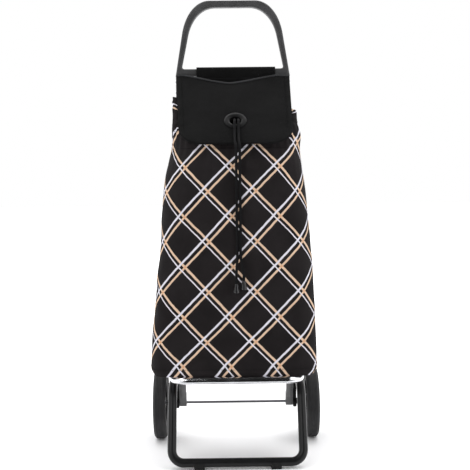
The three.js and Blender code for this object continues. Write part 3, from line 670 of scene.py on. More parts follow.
# ---------- side tubes, brackets and axle ----------
RIVET_PROFILE = rounded([(0.01, 0.1), (4, 0.1), (4, 0.9), (2.4, 1.9), (0.01, 2)],
                        [0, 0.2, 0.6, 1.2, 0], 4, closed=False)
PIN_PROFILE = rounded(
    [(0.01, 113.2), (5, 113.2), (7, 114.6), (7, 116.2), (4, 116.2), (4, 150.8), (7, 150.8), (7, 152.4),
     (5, 153.8), (0.01, 153.8)], [0, 0.8, 0.6, 0.3, 0, 0, 0.3, 0.6, 0.8, 0], 3, closed=False)
BOSS_RADIUS, BOSS_OUTER_X, RIB_OUTER_X = 13.5, 142, 141.5


def pin_hole():
    return arc(PIVOT_Y, PIVOT_Z, PIN_HOLE_RADIUS, 0, 2 * pi, 24)[:-1][::-1]


def bracket_shape():
    bracket = Shape()
    outline = arc(0, WHEEL_RADIUS, 9.5, pi, 2 * pi, 20)
    outline += rounded([(10, 122), (0, 150), (-28, 150), (-28, 116)], [3, 2, 2, 6], 4)
    outline = spread(outline + outline[:1], 3)[:-1]
    bracket.slab([outline], BRACKET_INNER_X, BRACKET_OUTER_X, 1.6, 3, "x")
    for k, (x, y, z) in enumerate(bracket.points):
        # The inner face slants away above the axle.
        lean = 6.5 * min(1, max(0, (z - 104) / 18)) * min(1, max(0, (126 - x) / 9))
        bracket.points[k] = (x + lean, y, z)
    ear = [(-20, 96), (-20, 149), (-28, 151)]
    ear += arc(PIVOT_Y, PIVOT_Z, EAR_RADIUS, pi / 6, 1.2 * pi, 20)
    bracket.slab([ear, pin_hole()], BRACKET_INNER_X + 0.1, EAR_OUTER_X, 1, 3, "x")
    pad = arc(0, WHEEL_RADIUS, 9, 0, 2 * pi, 32)[:-1]
    bracket.slab([pad], BRACKET_OUTER_X - 0.3, BRACKET_OUTER_X + 0.3, 0.25, 2, "x")
    return bracket


def axle_ring(low, high, radius, edge, groove=0):
    """A ring on the axle, with a groove of that half width round its middle."""
    line = [(AXLE_BORE, low), (radius, low), (radius, high), (AXLE_BORE, high)]
    if groove:
        mid = (low + high) / 2
        line[2:2] = [(radius, mid - groove), (radius - 1.2, mid), (radius, mid + groove)]
    shape = Shape().turned(rounded(line, edge, 4), (0, 0, WHEEL_RADIUS), "x", 48)
    return shape


def side_parts(word, side):
    tube = Shape()
    section = rounded_rectangle(UPRIGHT_WIDTH, UPRIGHT_DEPTH, 6.9, 8) + np.array([UPRIGHT_X, UPRIGHT_Y])
    tube.slab([section], UPRIGHT_BOTTOM + 0.3, CROSSBAR_BOTTOM - 0.3, 0.5, 2, "z")
    tube.make_for(word, "upright", "black_paint", "side_tube")
    for place, height in RIVET_HEIGHTS:
        rivet = Shape()
        centre = (UPRIGHT_X + UPRIGHT_WIDTH / 2, UPRIGHT_Y, height)
        rivet.turned(RIVET_PROFILE, centre, "x", 28, closed=False)
        rivet.make_for(word, f"{place}_rivet", "polished_aluminium", f"{place}_handle_rivet", crease=60)

    bracket_shape().make_for(word, "bracket", "grey_plastic", "axle_bracket")
    pin = Shape().turned(PIN_PROFILE, (0, PIVOT_Y, PIVOT_Z), "x", 32, closed=False)
    pin.make_for(word, "fold_pin", "dark_steel", "pivot_pin", crease=50)

    boss = axle_ring(BOSS_X, BOSS_OUTER_X, BOSS_RADIUS, 1.6)
    rib = rounded([(-9, 88.5), (8, 88.5), (0, 148), (-16, 148)], [1, 1, 3, 3], 4)
    boss.slab([rib], BOSS_X, RIB_OUTER_X, 1.4, 3, "x")
    spacer, clip = axle_ring(142.3, 161.7, 7, 0.8, 1.6), axle_ring(187.3, AXLE_HALF_LENGTH, 7.5, 0.4)
    for name, shape, slot in (
        ("boss", boss, "black_plastic"), ("spacer", spacer, "black_plastic"), ("clip", clip, "dark_steel"),
    ):
        shape.make_for(word, name, slot, f"axle_{name}")


def axle():
    line = []
    for end, inward in ((-AXLE_HALF_LENGTH, 0.5), (AXLE_HALF_LENGTH, -0.5)):
        line += [(0.01, end), (AXLE_RADIUS - 0.4, end), (AXLE_RADIUS, end + inward)][::1 if end < 0 else -1]
    Shape().turned(line, (0, 0, WHEEL_RADIUS), "x", 28, False).make("axle", "dark_steel", "axle_rod")


for word, side in SIDES:
    side_parts(word, side)
axle()


# ---------- wheels ----------
SPOKES, SPOKE_SHARE = 6, 0.16
WINDOW_OUTER, WINDOW_INNER, WINDOW_CORNER = 46.5, 22.5, 4
GROOVES, GROOVE_PITCH, GROOVE_DEPTH = 5, 3.6, 0.9
CAP_PROFILE = rounded(
    [(0.01, 13.6), (9.5, 13.4), (9.5, 10.8), (15, 10.8), (15, 13.2), (11, 15.4), (6, 16.2), (5.4, 15.7),
     (0.01, 15.5)],
    [0, 0.4, 0.4, 0.4, 1, 2, 0.6, 0.6, 0], 4, closed=False)


def tyre_profile():
    side = -TYRE_HALF_WIDTH
    tread = [(RIM_RADIUS + 0.3, -11), (RIM_RADIUS + 8, side + 0.4), (RIM_RADIUS + 15, side),
             (WHEEL_RADIUS - 4.5, side + 1), (WHEEL_RADIUS, side + 6.5)]
    for k in range(GROOVES):
        mid = (k - (GROOVES - 1) / 2) * GROOVE_PITCH
        for off, deep in ((-0.7, 0), (-0.35, GROOVE_DEPTH), (0.35, GROOVE_DEPTH), (0.7, 0)):
            tread.append((WHEEL_RADIUS - deep, mid + off))
    tread += [(r, -a) for r, a in reversed(tread[:5])]
    return rounded(tread, [1, 3, 5, 4, 4] + [0.25] * (4 * GROOVES) + [4, 4, 5, 3, 1], 4)


def wheel_parts(word, side):
    centre = (side * WHEEL_X, 0, WHEEL_RADIUS)
    body = f"{word}_wheel"
    tyre = Shape().turned(tyre_profile(), centre, "x", 160)
    tyre.make(f"{word}_rubber_tyre", "tyre_rubber", f"{word}_tyre", body)

    rim = Shape()
    outer = [(RIM_RADIUS - 7, -11), (RIM_RADIUS, -11.6), (RIM_RADIUS, 11.6), (RIM_RADIUS - 7, 11),
             (RIM_RADIUS - 5.5, 4), (RIM_RADIUS - 5.5, -4)]
    rim.turned(rounded(outer, [1.2, 0.6, 0.6, 1.2, 2, 2], 4), centre, "x", 120)
    hub = [(9.3, -14.3), (15, -14.3), (17.5, -5), (17.5, 5), (15, 10.4), (9.3, 10.4)]
    rim.turned(rounded(hub, [0.6, 1.4, 3, 3, 1.4, 0.6], 4), centre, "x")
    outlines = [[(y, z + WHEEL_RADIUS) for y, z in circle(RIM_RADIUS - 3, 96)]]
    outlines.append([(12 * cos(t), 12 * sin(t) + WHEEL_RADIUS)
                     for t in np.linspace(2 * np.pi, 0, 48, endpoint=False)])
    for k in range(SPOKES):
        start, end = ((k + share) * 2 * pi / SPOKES for share in (SPOKE_SHARE, 1 - SPOKE_SHARE))
        window = arc(0, WHEEL_RADIUS, WINDOW_OUTER, start, end, 12)
        window += arc(0, WHEEL_RADIUS, WINDOW_INNER, end - 0.16, start + 0.16, 8)
        corners = [WINDOW_CORNER] + [0] * 11 + [WINDOW_CORNER] * 2 + [0] * 7 + [WINDOW_CORNER]
        outlines.append(rounded(window, corners, 5)[::-1])
    rim.slab(outlines, side * WHEEL_X - 3.5, side * WHEEL_X + 3.5, 1.3, 3, "x")
    rim.make(f"{word}_spoked_rim", "black_plastic", f"{word}_rim", body)

    bush = Shape()
    sleeve = [(AXLE_BORE, -14.5), (9, -14.5), (9, 10.5), (AXLE_BORE, 10.5)]
    bush.turned(rounded(sleeve, 0.7, 3), centre, "x", 40)
    bush.make(f"{word}_bushing", "grey_plastic", f"{word}_hub_bushing", body)

    cap = Shape().turned(CAP_PROFILE, (WHEEL_X, 0, WHEEL_RADIUS), "x", 56, closed=False)
    cap.make_for(word, "cap", "black_plastic", "hub_cap", body=body)


for word, side in SIDES:
    wheel_parts(word, side)


# ---------- folding base ----------
FOLDING_SOFT = []  # the base board, the bag's lower part and its lower stitching
BOARD_WIDTH, BOARD_DEPTH, BOARD_LOW, BOARD_HIGH = 220, 138, 194.8, 197.3
RIB_PITCH, RIBS_EACH_SIDE = 24, 4
KNUCKLE_INNER_X, KNUCKLE_OUTER_X = 127, 150.5


def base_tube(half, bend, steps, radius):
    """A tube that goes out along half of its line and back along its mirror."""
    line = rounded(half + [(-x, y, z) for x, y, z in reversed(half)], bend, steps, closed=False)
    tube = Shape().sweep(spread(line, 4), circle(radius, 36))
    return tube


def knuckle_shape():
    knuckle = Shape()
    outline = [(-100, 146), (-64, 146)] + arc(PIVOT_Y, PIVOT_Z, EAR_RADIUS, -pi / 3, pi / 2)
    outline += [(-64, 190), (-100, 190)]
    sizes = [4, 3] + [0] * 17 + [3, 4]
    knuckle.slab([rounded(outline, sizes, 4), pin_hole()], KNUCKLE_INNER_X, KNUCKLE_OUTER_X, 2, 4, "x")
    sockets = (PLATFORM_X, PLATFORM_Z, PLATFORM_RADIUS + 0.3), (STAND_X, STAND_Z, STAND_RADIUS + 0.3)
    for x, z, radius in sockets:
        collar = rounded([(radius, -99), (radius + 2, -99), (radius + 2, -104.5), (radius, -104.5)], 0.8, 3)
        rows = [[(x + a, y, z + b) for a, b in circle(r, 40)] for r, y in collar + [collar[0]]]
        knuckle.grid(rows, caps=False)
    return knuckle


def base_parts():
    half = [(PLATFORM_X, y, PLATFORM_Z) for y in (TUBE_END_Y, PLATFORM_FRONT_Y)]
    platform = base_tube(half, 32, 14, PLATFORM_RADIUS)
    platform.make("platform_tube", "polished_aluminium", "platform_loop", "base", crease=60)
    half = [(STAND_X, y, z) for y, z in (
        (TUBE_END_Y, STAND_Z), (STAND_BEND_Y, STAND_Z), (STAND_FOOT_Y, STAND_FOOT_Z))]
    stand = base_tube(half, 26, 12, STAND_RADIUS)
    stand.make("stand_tube", "black_paint", "stand_loop", "base", crease=60)

    board = Shape()
    outline = rounded_rectangle(BOARD_WIDTH, BOARD_DEPTH, 12)
    board.slab([outline + np.array([0, BAG_MIDDLE_Y])], BOARD_LOW, BOARD_HIGH, 0.8, 3, "z")
    for k in range(-RIBS_EACH_SIDE, RIBS_EACH_SIDE + 1):
        rib = np.array(rounded_rectangle(5, 120, 2.4)) + np.array([k * RIB_PITCH, BAG_MIDDLE_Y])
        board.slab([rib], BOARD_HIGH - 0.2, BOARD_HIGH + 1.3, 0.7, 2, "z")
    FOLDING_SOFT.append(board.make("base_board", "board_plastic", "bag_base_board"))

    for word, side in SIDES:
        knuckle_shape().make_for(word, "knuckle", "black_plastic", "base_knuckle", body="base")
        foot = Shape()
        outline = [(-11, 13), (-11, 0), (11, 0), (11, 13)] + arc(0, STAND_FOOT_Z, 9.8, 0, -pi, 20)
        outline = rounded(outline, [1.2, 3, 3, 1.2] + [0] * 21, 4)
        outline = [(y + STAND_FOOT_Y, z) for y, z in outline]
        foot.slab([outline], side * FOOT_X - FOOT_HALF_WIDTH, side * FOOT_X + FOOT_HALF_WIDTH, 1, 3, "x")
        foot.make(f"{word}_rubber_foot", "foot_rubber", f"{word}_foot", "base")


base_parts()


# ---------- bag ----------
COLUMNS, LOWER_LEVELS, UPPER_LEVELS, LIP_LEVELS = 260, 106, 26, 26
LEVELS, SECTION_POINTS = LOWER_LEVELS + UPPER_LEVELS, 720
FOLD_Z, FOLD_KEEP = 675, 0.65  # the bag is divided here
RIM_CLEARANCE, REAR_TOP, LEFT_TOP, RIGHT_TOP = 9, 830, 795, 761
MOUTH_X, MOUTH_DOWN, MOUTH_HALF_WIDTH, MOUTH_HALF_DEPTH = 4, 92, 74, 56
PLEATS, CLOTH_THICK, HEM_RADIUS = 44, 1.1, 3.4
SEAM_ABOVE_BOTTOM, SEAM_LEVELS_BELOW_RIM = 13, 7
BACK_CORNER, FRONT_BOW = 22, 5
EAR_U, EAR_Z, EAR_SIZE = 158, 700, 7.0  # a fold that stands out beside the flap's right corner


def bag_sides(z):
    """How far left and right the bag reaches at a height."""
    t = (z - BAG_BOTTOM) / BAG_HEIGHT
    left = -184.4 + 15.1 * t + 100.9 * t**2 - 67.6 * t**3
    left -= 6.5 * exp(-(((z - 540) / 52) ** 2)) + 3 * soft((330 - z) / 80)
    left -= 6 * exp(-(((z - 605) / 45) ** 2))
    right = 176.3 - 4.2 * t - 38.2 * t**2 + 1.7 * t**3
    return left, right


def bag_section(z):
    """The bag's outline at a height, from the middle of the back round by the left to the back."""
    left, right = bag_sides(z)
    front = front_depth(z) + 10 * soft((z - 632) / 52)
    tuck = 6 * (1 - soft((z - BAG_BOTTOM) / 60)) ** 1.5
    corner, middle = 44 + 32 * (z - BAG_BOTTOM) / BAG_HEIGHT, (left + right) / 2
    shoulder = front + tuck + FRONT_BOW
    line = [(middle, BAG_BACK), (left, BAG_BACK), (left, shoulder), (middle, front + tuck), (right, shoulder),
            (right, BAG_BACK), (middle, BAG_BACK)]
    flat_bow = max(60, (right - left) * 0.28)
    sizes = [0, BACK_CORNER, corner, flat_bow, corner, BACK_CORNER, 0]
    points = np.array(rounded(line, sizes, 24, closed=False))
    lengths = along_lengths(points)
    wanted = np.linspace(0, lengths[-1], SECTION_POINTS + 1)
    xy = np.stack([np.interp(wanted, lengths, points[:, k]) for k in (0, 1)], 1)
    nearest = np.argmin(np.abs(xy[:, 0] - middle) + 1000 * (xy[:, 1] > BAG_BACK - 60))
    return xy, wanted - wanted[nearest]


def notch(x):
    """How far down the slope the flap's rear edge lies: a wide, soft V."""
    side = np.abs(x + NOTCH_SHIFT) / NOTCH_HALF_WIDTH
    return NOTCH_DEPTH * np.clip(1 - np.sqrt(side**2 + 0.012) + 0.06, 0, 1) - 5 * soft((-x - 30) / 90)


def bag_wall():
    """The bag's smooth wall: its points, their places on the flat cloth, and the rim's heights."""
    heights = np.linspace(BAG_BOTTOM, 850, 170)
    sections = [bag_section(z) for z in heights]
    xy, along = (np.stack([s[k] for s in sections]) for k in (0, 1))
    columns = np.linspace(0, SECTION_POINTS, COLUMNS + 1).round().astype(int)

    def look_up(values, column, z):
        return np.interp(z, heights, values[:, column])

    rim_z = []
    for column in columns:
        z = 700.0
        for _ in range(30):
            y = look_up(xy[:, :, 1], column, z)
            limit = FLAP_REAR[1] - RIM_CLEARANCE / COS_SLOPE - (FLAP_REAR[0] - y) * tan(FLAP_SLOPE)
            z = 0.5 * z + 0.5 * limit
        x = look_up(xy[:, :, 0], column, z)
        rear_top = REAR_TOP - 1.3 * max(0, float(notch(x)))
        side_top = LEFT_TOP if x < 0 else RIGHT_TOP
        rim_z.append(min(z, rear_top + (side_top - rear_top) * float(soft((abs(x) - 96) / 20))))

    wall, cloth = (np.zeros((LEVELS + 1, COLUMNS + 1, size)) for size in (3, 2))
    for j in range(LEVELS + 1):
        for i, column in enumerate(columns):
            if j <= LOWER_LEVELS:
                z = BAG_BOTTOM + (FOLD_Z - BAG_BOTTOM) * (j / LOWER_LEVELS) ** 1.1
            else:
                z = FOLD_Z + (rim_z[i] - FOLD_Z) * (j - LOWER_LEVELS) / UPPER_LEVELS
            wall[j, i] = (look_up(xy[:, :, 0], column, z), look_up(xy[:, :, 1], column, z), z)
            cloth[j, i, 0] = look_up(along, column, z)
    steps = np.cumsum(np.linalg.norm(np.diff(wall, axis=0), axis=2), axis=0)
    rise = np.concatenate([np.zeros((1, COLUMNS + 1)), steps])
    front = COLUMNS // 2
    cloth[:, :, 1] = rise - np.interp(PRINT_Z, wall[:, front, 2], rise[:, front]) + PRINT_Z
    cloth[:, :, 1] -= 4 * soft((300 - wall[:, :, 2]) / 90)
    return wall, cloth, rim_z


def pleat(turn, shift=0.0):
    return sin(PLEATS * turn + 1.8 * sin(3 * turn) + shift)


def standing_out(point, u, turn, below_rim):
    """How far the cloth stands out from its smooth form at a point."""
    x, y, z = point
    above = z - BAG_BOTTOM
    gather = exp(-below_rim / 34) * (
        1.9 * pleat(turn, 0.01 * below_rim) + 0.6 * sin(17 * turn + 0.03 * below_rim))
    slack = 3.0 * rough(x, y, z * 0.45, 120, 3.1) + 1.6 * rough(x * 1.4, y, z, 48, 8.7)
    creases = 1.1 * (1 - abs(rough(x + 0.5 * z, y, z * 0.35, 46, 5.2)) * 3.2)
    drag = 1.4 * (1 - soft(above / 70)) * sin(u / 15 + 2.4 * rough(x, y, 0, 80, 1.3)) * soft(above / 14)
    at_back, free = soft((y + 60) / 25), soft((above - 2) / 50)
    ear = EAR_SIZE * exp(-((u - EAR_U) / 30) ** 2 - ((z - EAR_Z) / 22) ** 2)
    loose = (slack + max(creases, -1.2) * 0.8) * free * (1 - 0.75 * at_back)
    return loose + drag + gather * (1 - at_back) - 1.5 + ear


def hung_wall():
    """The wall with its slack and gathers, its outward directions, and the lower edge's sag."""
    wall, cloth, rim_z = bag_wall()
    outward = unit(np.cross(np.gradient(wall, axis=1), np.gradient(wall, axis=0)))
    if ((wall - wall.mean(axis=(0, 1))) * outward).sum() < 0:
        outward = -outward
    for j in range(LEVELS + 1):
        for i in range(COLUMNS):
            z = wall[j, i, 2]
            out = standing_out(wall[j, i], cloth[j, i, 0], 2 * pi * i / COLUMNS, rim_z[i] - z)
            # Nothing moves up or down where the cloth is divided, so that the two pieces meet.
            push = outward[j, i] * out
            push[2] *= 1 - exp(-(((z - FOLD_Z) / 12) ** 2))
            wall[j, i] += push
    above = wall[:, :, 2] - BAG_BOTTOM
    # The cloth turns in at its lower edge, and sags a little in front of the platform.
    wall[:, :, :2] -= outward[:, :, :2] * (5 * (1 - soft(above / 9)))[..., None]
    hang = 4 * (1 - soft(above / 24)) * soft((-wall[:, :, 1] - 190) / 20)
    wall[:, :, 2] -= hang
    wall[:, COLUMNS] = wall[:, 0]
    return wall, cloth, outward, hang[0]


def neck_rows(rim):
    """The gathered neck, from the rim in under the flap to the drawstring's edge."""
    origin = on_flap(0, 0)
    down, rim_over = ((rim - origin) @ (end - origin) for end in (on_flap(0, 1), on_flap(0, 0, 1)))
    aim = np.arctan2((FLAP_REAR[0] - rim[:, 1]) / COS_SLOPE - MOUTH_DOWN, rim[:, 0] - MOUTH_X)
    neck = []
    for m in range(1, LIP_LEVELS + 1):
        q = m / LIP_LEVELS
        row = np.zeros((COLUMNS + 1, 3))
        for i in range(COLUMNS):
            start = np.array([rim[i, 0], down[i]])
            reach = MOUTH_HALF_WIDTH * cos(aim[i]), MOUTH_HALF_DEPTH * sin(aim[i])
            spot = start + (np.array([MOUTH_X, MOUTH_DOWN]) + reach - start) * q
            gather = pleat(2 * pi * i / COLUMNS) * 2.8 * soft(q * 3)
            over = -RIM_CLEARANCE - 1.5 - 11 * q + gather - 3 * sin(pi * q)
            row[i] = on_flap(*spot, rim_over[i] + (over - rim_over[i]) * soft(2.2 * q))
        row[COLUMNS] = row[0]
        neck.append(row)
    return neck


def bag_floor(edge, hang):
    """Rings from the bag's lower edge to the middle of its bottom panel."""
    hub = np.array([0, BAG_MIDDLE_Y, BAG_BOTTOM])
    rings = [edge]
    for share in (0.93, 0.75, 0.5, 0.25, 0.02):
        ring = hub + (edge - hub) * share
        ring[:, 2] = BAG_BOTTOM + 0.6 - hang * soft((share - 0.85) / 0.15)
        rings.append(ring)
    return rings


def bag_cloth():
    wall, cloth, outward, hang = hung_wall()
    neck, neck_cloth, grown = neck_rows(wall[LEVELS]), [], cloth[LEVELS, :, 1]
    for before, row in zip([wall[LEVELS]] + neck, neck):
        grown = grown + np.linalg.norm(row - before, axis=1)
        neck_cloth.append(np.stack([cloth[LEVELS, :, 0], grown], 1))

    mouth = Shape()
    mouth.grid(list(wall[LOWER_LEVELS:]) + neck, around=False, caps=False,
               cloth=list(cloth[LOWER_LEVELS:]) + neck_cloth)
    mouth.make("bag_mouth", "bag_fabric", "bag_shell", crease=75, wall=CLOTH_THICK)
    shape = Shape().grid(wall[:LOWER_LEVELS + 1], around=False, caps=False, cloth=cloth[:LOWER_LEVELS + 1])
    rings = bag_floor(wall[0], hang)
    shape.grid(rings, around=False, caps=False, cloth=[ring[:, :2] for ring in rings])
    FOLDING_SOFT.append(shape.make("bag_cloth", "bag_fabric", "bag_shell", crease=75, wall=CLOTH_THICK))

    hem = Shape()
    edge = spread(np.vstack([neck[-1][:-1], neck[-1][:1]]), 2.2)[:-1]
    hem.sweep(edge, circle(HEM_RADIUS, 14), around_path=True)
    hem.make("drawstring_hem", "black_fabric", "drawstring_channel", crease=80)

    low = int(np.argmin(np.abs(wall[:, COLUMNS // 2, 2] - (BAG_BOTTOM + SEAM_ABOVE_BOTTOM))))
    for name, level in (("bag_stitching", low), ("mouth_stitching", LEVELS - SEAM_LEVELS_BELOW_RIM)):
        thread = Shape()
        stitches(thread, wall[level] + outward[level] * 0.1, outward[level], 3.4, 1.8, 0.5)
        piece = thread.make(name, "black_fabric", crease=80)
        if level == low:
            FOLDING_SOFT.append(piece)


bag_cloth()


# ---------- back panel, hung from the crossbar ----------
PANEL_X, PANEL_WIDTH, PANEL_CLEARANCE, PANEL_THICK = 7, 182, 0.7, 2.2
PANEL_FRONT_Z, PANEL_BACK_Z, PANEL_SEAMS = 800, 818, (836, 840)


def back_panel():
    top, front, back = CROSSBAR_TOP + 1.2, UPRIGHT_FRONT - PANEL_CLEARANCE, UPRIGHT_BACK + PANEL_CLEARANCE
    corners = [(front, PANEL_FRONT_Z), (front, top), (back, top), (back, PANEL_BACK_Z)]
    line = spread(rounded(corners, 4.5, 8, closed=False), 2.4)
    across = np.linspace(PANEL_X - PANEL_WIDTH / 2, PANEL_X + PANEL_WIDTH / 2, 62)
    rows, reach = [], along_lengths(line)
    for (y, z), (ty, tz) in zip(line, unit(np.gradient(line, axis=0))):
        row = []
        for x in across:
            slack = 0.5 * rough(x, y, z, 26, 4.4) + 0.3 * sin(x / 7 + 0.8 * sin(z / 9))
            lift = 0.5 + slack * soft((CROSSBAR_TOP - z) / 12)
            row.append((x, y - tz * lift, z + ty * lift))
        rows.append(row)
    panel = Shape().grid(rows, around=False, caps=False, cloth=[[(x, r) for x in across] for r in reach])
    piece = panel.make("back_panel", "black_fabric", "hanging_sleeve", crease=80, wall=-PANEL_THICK)
    thread = Shape()
    for z in PANEL_SEAMS:
        for y, way in ((front - 2.8, -1), (back + 2.8, 1)):
            stitches(thread, [(x, y, z) for x in across], [(0, way, 0)] * len(across))
    thread.make("back_panel_stitching", "piping", crease=80)


back_panel()


# ---------- flap ----------
FLAP_ACROSS, FLAP_DEEP, FLAP_THICK, HOLE_MARGIN = 96, 90, 2.2, 4.5
BINDING_SECTION = rounded(
    [(12.4, -0.2), (12, 0.7), (2.5, 0.9), (-0.9, -0.9), (2.5, -3.1), (12, -2.9), (12.4, -2)],
    [0.2, 0.5, 1.6, 1.6, 1.6, 0.5, 0.2], 4)
BINDING_SEAM = 10.2
COLLAR_PROFILE = rounded(
    [(EYELET_HOLE, -4), (14.9, -4), (14.9, 0.3), (EYELET_RADIUS, 0.3), (24.6, 1.7), (20.5, 3.3), (16, 3.2),
     (EYELET_HOLE, 1.0)], [0.3, 0.3, 0, 0.5, 0.8, 2.2, 2, 1.6], 6)
WASHER_PROFILE = rounded([(12.6, -6.9), (21, -6.9), (21, -5.3), (12.6, -5.3)], 0.5, 3)


def flap_half_width(down):
    share = down / FLAP_LENGTH
    half = FLAP_REAR_HALF_WIDTH + (FLAP_FRONT_HALF_WIDTH - FLAP_REAR_HALF_WIDTH) * share
    near = np.clip(FLAP_CORNER - (FLAP_LENGTH - down), 0, FLAP_CORNER)
    return half - (FLAP_CORNER - np.sqrt(np.maximum(FLAP_CORNER**2 - near**2, 0)))


def flap_x(share, down):
    """Across the flap, where -1 and 1 are its edges."""
    return FLAP_SKEW * down / FLAP_LENGTH + share * float(flap_half_width(down))


def flap_height(x, down):
    """The cloth's height over the flap's plane: a low crown, drooping towards its edges."""
    half = flap_half_width(np.minimum(down, FLAP_LENGTH - FLAP_CORNER))
    side = np.clip(np.abs(x - FLAP_SKEW * down / FLAP_LENGTH) / half, 0, 1)
    ahead = np.clip(down / FLAP_LENGTH, 0, 1)
    crown = 1.6 * (1 - side**2) * sin(pi * float(ahead)) - 3.4 * side**6 - 1.0 * ahead**9
    near_eyelet = exp(-(hypot(x - EYELET_X, down - EYELET_DISTANCE) / 30) ** 4)
    wrinkle = 0.9 * rough(x, down, 0, 52, 6.3) + 0.35 * rough(x * 0.6, down, 0, 17, 2.2)
    return float((crown + wrinkle) * (1 - near_eyelet) - 0.8 * near_eyelet)


def flap_panel():
    cloth = []
    for j in range(FLAP_DEEP + 1):
        near, flat = FLAP_LENGTH * (1 - (1 - j / FLAP_DEEP) ** 1.35), []
        for i in range(FLAP_ACROSS + 1):
            down = near
            for _ in range(4):
                x = flap_x(-1 + 2 * i / FLAP_ACROSS, down)
                start = float(notch(x))
                down = start + near * (FLAP_LENGTH - start) / FLAP_LENGTH
            flat.append((x, down))
        cloth.append(flat)

    def in_hole(i, j):
        x, down = (sum(cloth[j + p][i + q][k] for p in (0, 1) for q in (0, 1)) / 4 for k in (0, 1))
        return hypot(x - EYELET_X, down - EYELET_DISTANCE) < EYELET_HOLE + HOLE_MARGIN

    panel = Shape()
    rows = [[on_flap(x, down, flap_height(x, down)) for x, down in flat] for flat in cloth]
    panel.grid(rows, around=False, caps=False, cloth=cloth, skip=in_hole)
    return panel.make("flap_cloth", "black_fabric", "flap_panel", "flap", crease=80, wall=FLAP_THICK)


def flap_binding():
    """The bound edge, folded over the sides and the front, with its row of stitches."""
    downs = list(np.linspace(3, FLAP_LENGTH - FLAP_CORNER, 60))
    downs += [FLAP_LENGTH - FLAP_CORNER * (1 - sin(t)) for t in np.linspace(0, pi / 2, 14)[1:]]
    edge = [(flap_x(-1, d), d) for d in downs] + [(flap_x(1, d), d) for d in downs[::-1]]
    edge = spread(edge, 3)
    inward = unit(np.gradient(edge, axis=0))
    inward = np.stack([inward[:, 1], -inward[:, 0]], 1)
    if ((np.array([0, 120]) - edge[0]) * inward[0]).sum() < 0:
        inward = -inward
    rows, cloth, seam = [], [], []
    for k, (spot, into) in enumerate(zip(edge, inward)):
        row, flat = [], []
        for w, over in BINDING_SECTION:
            pucker = 0.25 * sin(k * 1.1) * soft((w - 3) / 6)
            base = flap_height(*(spot + into * max(w, 0)))
            row.append(on_flap(*(spot + into * w), base + over + pucker * np.sign(over)))
            flat.append((k * 3.0, w + (30 if over < -1 else 0)))
        rows.append(row)
        cloth.append(flat)
        under = spot + into * BINDING_SEAM
        seam.append(on_flap(*under, flap_height(*under) + 0.8))
    bound = Shape().grid(rows, cloth=cloth).make("flap_binding", "black_fabric", body="flap", crease=70)
    thread = Shape()
    stitches(thread, seam, [on_flap(0, 0, 1) - on_flap(0, 0)] * len(seam), 3.4, 1.7, 0.5)
    thread.make("flap_stitching", "black_fabric", body="flap", crease=80)
    return bound


def flap_trim():
    """The lighter trim along the rear edge."""
    line = []
    for x in np.linspace(0.5 - FLAP_REAR_HALF_WIDTH, FLAP_REAR_HALF_WIDTH - 0.5, 120):
        down = float(notch(x))
        line.append(on_flap(x, down + 1.2, flap_height(x, down) + 0.2))
    trim = Shape().sweep(spread(line, 2), circle(2.5, 18, 0.9))
    trim.make("flap_trim", "piping", "flap_piping", "flap", crease=80)


def turned_on_flap(name, profile, segments, replaces):
    """A ring round the flap's hole, turned in the flap's plane."""
    rows = [[on_flap(EYELET_X + x, EYELET_DISTANCE + down, over) for x, down in circle(radius, segments)]
            for radius, over in profile + profile[:1]]
    Shape().grid(rows, caps=False).make(name, "black_plastic", replaces, "flap", crease=60)


flap_cloth, flap_bound = flap_panel(), flap_binding()
flap_trim()
turned_on_flap("eyelet_collar", COLLAR_PROFILE, 72, "eyelet_ring")
turned_on_flap("eyelet_backing", WASHER_PROFILE, 56, "eyelet_washer")

# The bag's lower part, the base board, the lower stitching and the cords each get a mesh of their own.
for pieces, top in ((FOLDING_SOFT, FOLD_Z), (CORDS, CORD_TOP)):
    for piece in pieces:
        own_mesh(piece)


# ---------- floor and light ----------
FLOOR_REACH = 12.0
FLAG_HALF_WIDTH, FLAG_HEIGHT, FLAG_FAR, FLAG_NEAR = 1500, 2500, -2800, -800
CARDS = ((650, FLAG_FAR, -420, 2), (900, FLAG_NEAR, 150, FLAG_HEIGHT))  # half width, start, end, height
LAMPS = (  # name, place, what it points at, size and power
    ("key", (-1100, -2300, 2100), (0, 0, 500), 1.4, 16),
    ("fill", (1700, -1500, 1300), (0, 0, 500), 1.6, 7),
    ("top", (0, 300, 3200), (0, 300, 0), 4.5, 150),
)


def stage_sheet(name, corners, faces, material):
    mesh = bpy.data.meshes.new(name)
    mesh.from_pydata(corners, [], faces)
    mesh.materials.append(material)
    sheet = add_object(name, mesh)
    return sheet


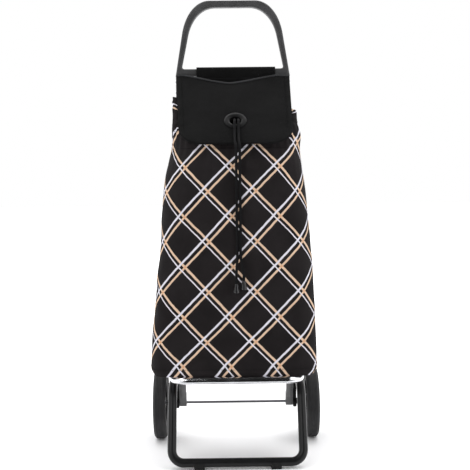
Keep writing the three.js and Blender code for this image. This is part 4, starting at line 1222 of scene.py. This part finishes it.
def floor_and_cards():
    # The floor glows faintly away from the trolley, so that it stays pale in the flag's shadow.
    paint = Look("floor_paint", (0.93, 0.93, 0.94))
    paint.set(Base_Color=(0.93, 0.93, 0.94, 1), Roughness=0.9, Emission_Color=(1, 1, 1, 1))
    away = paint.node("VectorMath", {"operation": "LENGTH"}, {0: paint.place()}).outputs["Value"]
    paint.put(paint.shader.inputs["Emission Strength"], paint.ramp(away, 0.35, 1.5, 0.03, 0.7))
    side, deep = FLOOR_REACH, 2 * FLOOR_REACH
    corners = [(-side, -side, 0), (side, -side, 0), (side, deep, 0), (-side, deep, 0)]
    stage_sheet("floor", corners, [(0, 1, 2, 3)], paint.material)

    black = Look("flag_black", (0.01, 0.01, 0.01))
    black.set(Base_Color=(0.01, 0.01, 0.01, 1), Specular_IOR_Level=0)
    # A black flag in front and overhead keeps the front of the dark cloth dark. The camera doesn't see it.
    wide, tall, far, near = FLAG_HALF_WIDTH, FLAG_HEIGHT, FLAG_FAR, FLAG_NEAR
    corners = [(-wide, far, 0), (wide, far, 0), (wide, far, tall), (-wide, far, tall), (wide, near, tall),
               (-wide, near, tall)]
    flag = stage_sheet("flag", [at(*c) for c in corners], [(0, 1, 2, 3), (3, 2, 4, 5)], black.material)
    flag.visible_camera = False
    # Black cards on the floor in front and overhead, seen only in reflections: the tubes mirror them.
    corners = []
    for half, start, end, height in CARDS:
        corners += [(-half, start, height), (half, start, height), (half, end, height), (-half, end, height)]
    card = stage_sheet("card", [at(*c) for c in corners], [(0, 1, 2, 3), (4, 5, 6, 7)], black.material)
    card.visible_camera = card.visible_diffuse = card.visible_shadow = card.visible_transmission = False


def lights():
    world = bpy.data.worlds.new("studio")
    bpy.context.scene.world = world
    world.use_nodes = True
    background = world.node_tree.nodes["Background"]
    background.inputs["Color"].default_value = (1.0, 1.0, 1.0, 1)
    background.inputs["Strength"].default_value = 1.0
    for name, place, target, size, power in LAMPS:
        data = bpy.data.lights.new(name, "AREA")
        data.size, data.energy = size, power
        lamp = add_object(name, data)
        lamp.location = at(*place)
        aim = Vector(at(*target)) - Vector(at(*place))
        lamp.rotation_euler = aim.to_track_quat("-Z", "Y").to_euler()
    bpy.context.scene.view_settings.view_transform = "Standard"


floor_and_cards()
lights()
